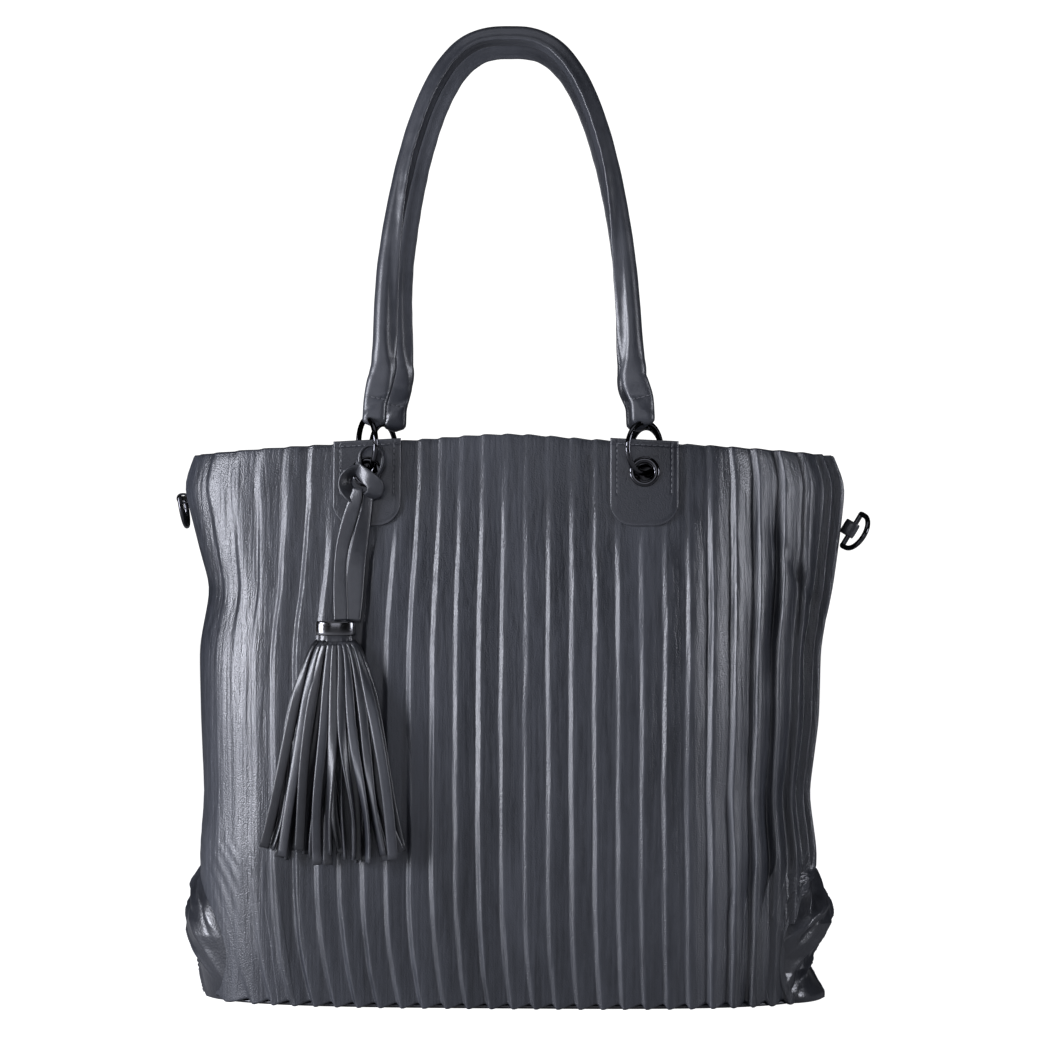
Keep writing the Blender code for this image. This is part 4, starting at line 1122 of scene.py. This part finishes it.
def makeHandle(name, front):
    path, foot = handlePath(front)
    inward, thick = finDirections(path, foot, front)
    run = runAlong(path)
    fromEnd = np.minimum(run, run[-1] - run)
    u, w, worn = tubeSections(run, fromEnd)
    points = path[:, None] + u[..., None] * inward[:, None] + w[..., None] * thick[:, None]
    surface = turned((points, tubeFaces(len(path), handleForm["sections"])))
    makePiece(name + "_leather", surface, [tubeLeather], [name], worn=worn)
    # a row along each face of the fin, then the rows that close each end across the strap
    keep = fromEnd > handleForm["finStitchesFrom"]
    seams = []
    for side in (-1, 1):
        line = path + inward * (handleForm["tube"] + handleForm["flange"] * 0.42)
        line = line + thick * side * (handleForm["flangeThick"] / 2 + 0.00005)
        seams.append(stitchAlong(line[keep], (thick * side)[keep], handleForm["stitchPitch"]))
    half = handleForm["endRowHalf"]
    across = np.linspace(-half, half, 20)[:, None]
    for end in (handleForm["endStitchAt"], run[-1] - handleForm["endStitchAt"]):
        at = np.argmin(np.abs(run - end))
        for side in (-1, 1):
            line = path[at] + inward[at] * across + thick[at] * side * (handleForm["endThick"] / 2 + 0.00002)
            out = np.repeat((thick[at] * side)[None], 20, 0)
            seams.append(stitchAlong(line, out, handleForm["endStitchPitch"]))
    return seams


handleSeams = makeHandle("handle_front", True) + makeHandle("handle_back", False)
makePiece("handle_stitches", joinParts(handleSeams), [thread], worn=0)
print("handles made")

# side rings
sideRings = {
    "inner": 0.019,
    "reach": 0.017,
    "wire": 0.00155,
    "keeperWidth": 0.0092,
    "keeperSkin": 0.0014,
    "keeperGap": 0.0003,
    "leftLean": 15.0,
    "leftSplay": 0.62,       # how much of the lean shows to the right
    "stretch": {"left": 0.0012, "right": 0.0028},    # of each keeper towards the wall
    "rightSlant": 31.0,
    "rightTurn": 65.0,       # how far the right bow has swung forward
}


def sideRingPath(middle, bar, bow):
    # a straight bar closed by a bow: middle + half cos a bar + reach (0.28 + 0.72 sin a) bow
    half = sideRings["inner"] / 2 + sideRings["wire"]
    angle = np.linspace(0, math.pi, 17)[:, None]
    arc = middle + half * np.cos(angle) * bar + sideRings["reach"] * (0.28 + 0.72 * np.sin(angle)) * bow
    straight = np.array([-1, -0.9, -0.45, 0, 0.45, 0.9, 1])[:, None] * half * bar + middle
    return smoothPath(np.concatenate([straight, arc]), 140, closed=True)


def makeKeeper(middle, bar, toward, stretch):
    # a leather eye: a circle round the wire, drawn out towards the wall by stretch cos^1.5
    angle = allRound(48)
    c = np.clip(np.cos(angle), 0, 1)
    r = sideRings["wire"] + sideRings["keeperGap"] + sideRings["keeperSkin"] / 2
    out = (r * np.cos(angle) + stretch * c ** 1.5)[:, None]
    up = (r * (1 + 0.25 * c) * np.sin(angle))[:, None]
    path = middle + out * toward + up * np.cross(bar, toward)
    across = np.repeat(bar[None], len(path), 0)
    width, skin = sideRings["keeperWidth"], sideRings["keeperSkin"]
    return sweep(path, across, width, skin, 20, closed=True, roundness=0.7)


def makeSideRing(side, bar, bow, toward):
    middle = np.array(joints[side + "_ring_swing"]["pos_m"], float)
    name = "side_ring_" + side
    ring = wire(sideRingPath(middle, bar, bow), np.cross(bar, bow), sideRings["wire"], 18)
    makePiece(name + "_metal", ring, [gunmetal], [name], body=side + "_side_ring")
    keeper = makeKeeper(middle, bar, toward, sideRings["stretch"][side])
    stands = ["side_keeper_" + side]
    makePiece("keeper_leather_" + side, keeper, [tabLeather], stands, worn=0.3)


lean = math.radians(sideRings["leftLean"])
leftBow = unit(np.array([math.sin(lean) * sideRings["leftSplay"], 0, -math.cos(lean)]))
makeSideRing("left", np.array([0, 1.0, 0]), leftBow, np.array([1.0, 0, 0]))
slant = math.radians(sideRings["rightSlant"])
rightBar = np.array([math.sin(slant), 0, math.cos(slant)])
rightOut = np.array([math.cos(slant), 0, -math.sin(slant)])
swung = math.radians(sideRings["rightTurn"])
rightBow = math.cos(swung) * rightOut + math.sin(swung) * np.array([0, -1.0, 0])
makeSideRing("right", rightBar, rightBow, -rightOut)
print("side rings made")

# tassel
tassel = {
    "x": -0.0985,
    "collarHeight": 0.0082,
    "collarWidth": 0.0236,
    "collarDepth": 0.0125,
    # the collar's side with softly turned edges, then its inner wall: inset, and height as a share of half
    "collarInset": [0.0008, 0.0003, 0.0001, 0.0, 0.0, 0.0001, 0.0003, 0.0008, 0.0012, 0.0013, 0.0013, 0.0012],
    "collarLevel": [-1, -0.93, -0.80, -0.55, 0.55, 0.80, 0.93, 1, 0.95, 0.8, -0.8, -0.95],
    "bottomZ": 0.0885,
    "spread": 0.089,
    "layers": [(9, 0.0020, 0), (8, -0.0014, 1), (10, -0.0046, 2)],   # strips, how far out, layer
    "stripWidth": 0.0059,
    "stripThick": 0.0021,
    "sway": 0.0056,
    "endJitter": 0.0030,     # of the strips' feet, sideways
    "footJitter": (-0.0045, 0.0040),     # and up
    "hangGap": 0.0082,       # in front of the wall, at least wallGap
    "wallGap": 0.0032,
    "belly": 0.0035,
    "strapThick": 0.0017,
    "seed": 3,
}
collarMiddle = boxMiddle("tassel_collar")


def makeCollar():
    # an ellipse in plan, drawn in by the inset at each level
    a, b = tassel["collarWidth"] / 2, tassel["collarDepth"] / 2
    inset = np.array(tassel["collarInset"])[None]
    level = np.array(tassel["collarLevel"])[None] * tassel["collarHeight"] / 2
    angle = allRound(80)[:, None]
    x, y = (a - inset) * np.cos(angle), (b - inset) * np.sin(angle)
    points = collarMiddle + np.stack([x, y, level + 0 * x], -1)
    surface = turned((points, tubeFaces(len(angle), inset.size, True)))
    makePiece("collar_metal", surface, [gunmetalBright], ["tassel_collar"])


def tasselHead(a, b, low):
    # an ellipse in plan that widens below the collar, with the folds of the rolled strips
    rows, cols = 18, 128
    angle = allRound(cols)[None]
    level = np.linspace(0, 1, rows)[:, None]
    folds = 1 - 0.035 * np.abs(np.sin(angle * 11)) * smoothStep(level, 0.3, 0.7)
    grow = (1 + 0.16 * smoothStep(level, 0.45, 1.0)) * folds
    x = collarMiddle[0] + a * grow * np.cos(angle)
    y = collarMiddle[1] + b * grow * np.sin(angle)
    top = collarMiddle[2] + 0.0008
    z = top + (low - top) * level + 0 * x
    return turned((np.stack([x, y, z], -1), tubeFaces(rows, cols)))


def tasselStrip(random, u, out, layer, a, b, low):
    # a strip from place u of the head that falls, spreads out, sways and twists, always in front of the wall
    fall = np.linspace(0, 1, 40)
    startX = collarMiddle[0] + u * a * 1.10
    endX = tassel["x"] - 0.0010 + u * (tassel["spread"] / 2 - 0.0005)
    jitter, swing = tassel["endJitter"], tassel["sway"]
    endX += random.uniform(-jitter, jitter) * (1 - abs(u))
    bottom = tassel["bottomZ"] + random.uniform(*tassel["footJitter"]) + 0.004 * u * u
    z = low + 0.005 + (bottom - low - 0.005) * fall
    spread = 0.86 * fall ** 0.60 + 0.14 * fall ** 3
    sway = random.uniform(-swing, swing) * np.sin(fall * math.pi * random.uniform(1.0, 2.2)) * fall
    x = startX + (endX - startX) * spread + sway
    wall = onWall(x, z)[:, 1]
    hang = wall - tassel["hangGap"] - out + random.uniform(-0.0007, 0.0007) * fall
    startY = collarMiddle[1] - b * (0.95 - 0.85 * layer) * math.sqrt(max(0, 1 - u * u))
    y = startY + (hang - startY) * smoothStep(fall, 0, 0.55)
    y = y - tassel["belly"] * np.sin(fall * math.pi) * (1 - layer * 0.4)
    y = np.minimum(y, wall - tassel["wallGap"])
    twist = random.uniform(-0.55, 0.55) + random.choice([0, 0, 0, 1.1, -1.1]) * smoothStep(fall, 0.35, 0.85)
    roll = twist * smoothStep(fall, 0.05, 0.5) + u * 0.9 * (1 - smoothStep(fall, 0, 0.35))
    sideways = np.stack([np.cos(roll), np.sin(roll), 0 * roll], -1)
    width = tassel["stripWidth"] * (0.66 + 0.34 * smoothStep(fall, 0, 0.30)) * random.uniform(0.90, 1.06)
    strip = sweep(np.stack([x, y, z], -1), sideways, width, tassel["stripThick"], 14, roundness=0.72)
    return strip, random.uniform(0, 1) * (1 - 0.4 * layer)       # a random tone for each strip, with painted shade: the layers behind are darker, as if shadowed by the strips in front


def makeTassel():
    random = np.random.default_rng(tassel["seed"])
    a, b = tassel["collarWidth"] / 2 - 0.0017, tassel["collarDepth"] / 2 - 0.0017
    low = collarMiddle[2] - tassel["collarHeight"] / 2 - 0.0085
    head = tasselHead(a, b, low)
    parts, shades = [head], [np.full(head[0].size // 3, 0.5)]
    for count, out, layer in tassel["layers"]:
        for k in range(count):
            u = -1 + 2 * (k + 0.5) / count + random.uniform(-0.04, 0.04)
            strip, shade = tasselStrip(random, u, out, layer, a, b, low)
            parts.append(strip)
            shades.append(np.full(len(strip[0]), shade))
    mesh = joinParts(parts)
    shades = np.concatenate(shades)
    worn = 0.15 + 0.5 * smoothStep(tassel["bottomZ"] + 0.006 - mesh[0][:, 2], 0, 0.006)     # the cut ends
    makePiece("tassel_strips", mesh, [stripLeather], ["tassel"], worn=worn, shade=shades)


makeCollar()
makeTassel()

knot = {
    "eyeHalfWidth": 0.0078,
    "eyeHeight": 0.0195,
    "eyeLift": 0.0042,       # the eye is pulled up the ring a little
    "eyeBand": 0.0050,
    "lift": 0.0025,
    # each row: x, how far in front of the wall, z below the eye's top, width, and the band's lean (x, y, z)
    "bulge": np.array([
        [-0.0800, 0.0062, 0.0180, 0.0070, 0.30, -0.50, 0.80],
        [-0.0862, 0.0085, 0.0130, 0.0082, -0.10, -0.70, 0.70],
        [-0.0925, 0.0082, 0.0160, 0.0088, -0.75, -0.65, 0.20],
        [-0.0935, 0.0078, 0.0225, 0.0090, -0.85, -0.50, -0.35],
        [-0.0885, 0.0072, 0.0285, 0.0085, 0.10, -0.45, -0.90],
        [-0.0830, 0.0062, 0.0275, 0.0070, 0.40, -0.30, -0.85],
    ]),
    "rightTail": np.array([
        [-0.0802, 0.0070, 0.0260, 0.0060, 1.00, 0.45, 0.10],
        [-0.0812, 0.0066, 0.0360, 0.0066, 1.00, 0.50, 0.15],
        [-0.0835, 0.0058, 0.0480, 0.0085, 1.00, 0.35, 0.20],
        [-0.0862, 0.0042, 0.0640, 0.0105, 1.00, 0.15, 0.12],
        [-0.0878, 0.0040, 0.0800, 0.0106, 1.00, 0.05, 0.02],
        [-0.0888, 0.0050, 0.1010, 0.0088, 1.00, 0.00, 0.00],
    ]),
    "leftTail": np.array([
        [-0.0858, 0.0092, 0.0235, 0.0062, 1.00, -0.25, 0.35],
        [-0.0880, 0.0088, 0.0320, 0.0074, 1.00, -0.20, 0.30],
        [-0.0915, 0.0070, 0.0440, 0.0082, 1.00, -0.10, 0.25],
        [-0.0950, 0.0055, 0.0580, 0.0082, 1.00, 0.05, 0.15],
        [-0.0962, 0.0055, 0.0740, 0.0078, 1.00, 0.10, 0.02],
        [-0.0953, 0.0062, 0.1010, 0.0080, 1.00, 0.00, -0.03],
    ]),
    "crossing": np.array([
        [-0.0868, 0.0075, 0.0085, 0.0060, 0.30, -0.95, 0.15],
        [-0.0850, 0.0105, 0.0130, 0.0075, 0.45, -0.55, 0.70],
        [-0.0802, 0.0125, 0.0172, 0.0092, 0.62, -0.25, 0.74],
        [-0.0758, 0.0125, 0.0215, 0.0100, 0.95, -0.10, 0.30],
        [-0.0762, 0.0100, 0.0262, 0.0090, 1.00, 0.15, -0.10],
        [-0.0800, 0.0068, 0.0285, 0.0075, 0.90, 0.35, -0.30],
    ]),
}


def makeStrap():
    centre, across, _ = ringFrame("front_left", -1, True)
    eyeX, eyeY = (centre + 0.55 * hardware["ringMean"] * across)[:2]
    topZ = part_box("tassel_strap")[1][2]
    thick = tassel["strapThick"]
    # the eye that hangs on the ring, seen edge on: a closed teardrop, point down
    turn = allRound(72)
    down = (1 - np.cos(turn)) / 2
    x = eyeX + knot["eyeHalfWidth"] * np.sin(turn) * (1 - 0.28 * down)
    z = topZ + knot["eyeLift"] - knot["eyeHeight"] * down
    path = np.stack([x, eyeY - 0.0040 * down / 2, z], -1)
    lean = np.repeat([[0.15, 1.0, 0.0]], len(turn), 0)
    parts = [turned(sweep(path, lean, knot["eyeBand"], thick, 16, closed=True, roundness=0.5))]
    # the bands of the knot and the two tails, with slow waves in their width
    for key in ("bulge", "rightTail", "leftTail", "crossing"):
        row = knot[key]
        z = topZ + knot["lift"] - row[:, 2]
        wall = onWall(row[:, 0], np.minimum(z, bag["height"] - 0.004))[:, 1]
        fine = smoothPath(np.column_stack([row[:, 0], wall - row[:, 1], z, row[:, 4:7], row[:, 3]]), 60)
        width = fine[:, 6] * (1 + 0.06 * np.sin(np.linspace(0, 9, 60)))
        parts.append(sweep(fine[:, :3], unit(fine[:, 3:6]), width, thick, 20, roundness=0.5))
    strap = joinParts(parts)
    makePiece("strap_leather", strap, [stripLeather], ["tassel_strap"], worn=0.25, shade=0.5)


makeStrap()
print("tassel made")

# floor, light and background
studio = {
    "softboxes": [
        # name, place, size, power
        ("leftBox", (-0.90, -0.51, 0.20), (0.36, 0.24), 8.6),
        ("handleBox", (-1.45, -0.95, 0.72), (0.56, 0.34), 27),
        ("rightBox", (1.55, -0.62, 0.50), (0.45, 0.60), 15),
        ("topBox", (0.0, -0.6, 1.9), (1.6, 0.9), 5),
        ("frontFill", (-0.2, -2.8, 0.8), (1.4, 1.0), 9),
    ],
    "aim": (0, 0, 0.22),
    "tint": (0.88, 0.90, 1.0),
    "floorReach": 6,
    "paper": 0.55,
    "air": (0.02, 1.15),     # how bright the surroundings are for the light, and for the eye
}


def makeLights():
    for name, place, size, watts in studio["softboxes"]:
        data = bpy.data.lights.new(name, "AREA")
        data.shape = "RECTANGLE"
        data.size, data.size_y = size
        data.energy = watts
        data.color = studio["tint"]
        lamp = addObject(name, data)
        lamp.location = place
        lamp.rotation_euler = (Vector(studio["aim"]) - Vector(place)).to_track_quat("-Z", "Y").to_euler()


def makeFloor():
    # white to the eye, and plain grey paper to the light
    r = studio["floorReach"]
    mesh = bpy.data.meshes.new("studioFloor")
    mesh.from_pydata([(-r, -r, 0), (r, -r, 0), (r, r, 0), (-r, r, 0)], [], [(0, 1, 2, 3)])
    paper, tree, sockets = newMaterial("studioPaper")
    sockets["Base Color"].default_value = (*[studio["paper"]] * 3, 1)
    sockets["Roughness"].default_value = 0.8
    sockets["Emission Color"].default_value = (1, 1, 1, 1)
    tree.links.new(node(tree, "LightPath").outputs["Is Camera Ray"], sockets["Emission Strength"])
    mesh.materials.append(paper)
    addObject("studioFloor", mesh)


def makeAir():
    world = bpy.data.worlds.new("studioWorld")
    bpy.context.scene.world = world
    world.use_nodes = True
    tree = world.node_tree
    back = tree.nodes["Background"]
    back.inputs[0].default_value = (1, 1, 1, 1)
    seen = node(tree, "LightPath").outputs["Is Camera Ray"]
    tree.links.new(ranged(tree, seen, 0.0, 1.0, *studio["air"]), back.inputs[1])
    bpy.context.scene.view_settings.view_transform = "Standard"


makeLights()
makeFloor()
makeAir()
print("studio made")
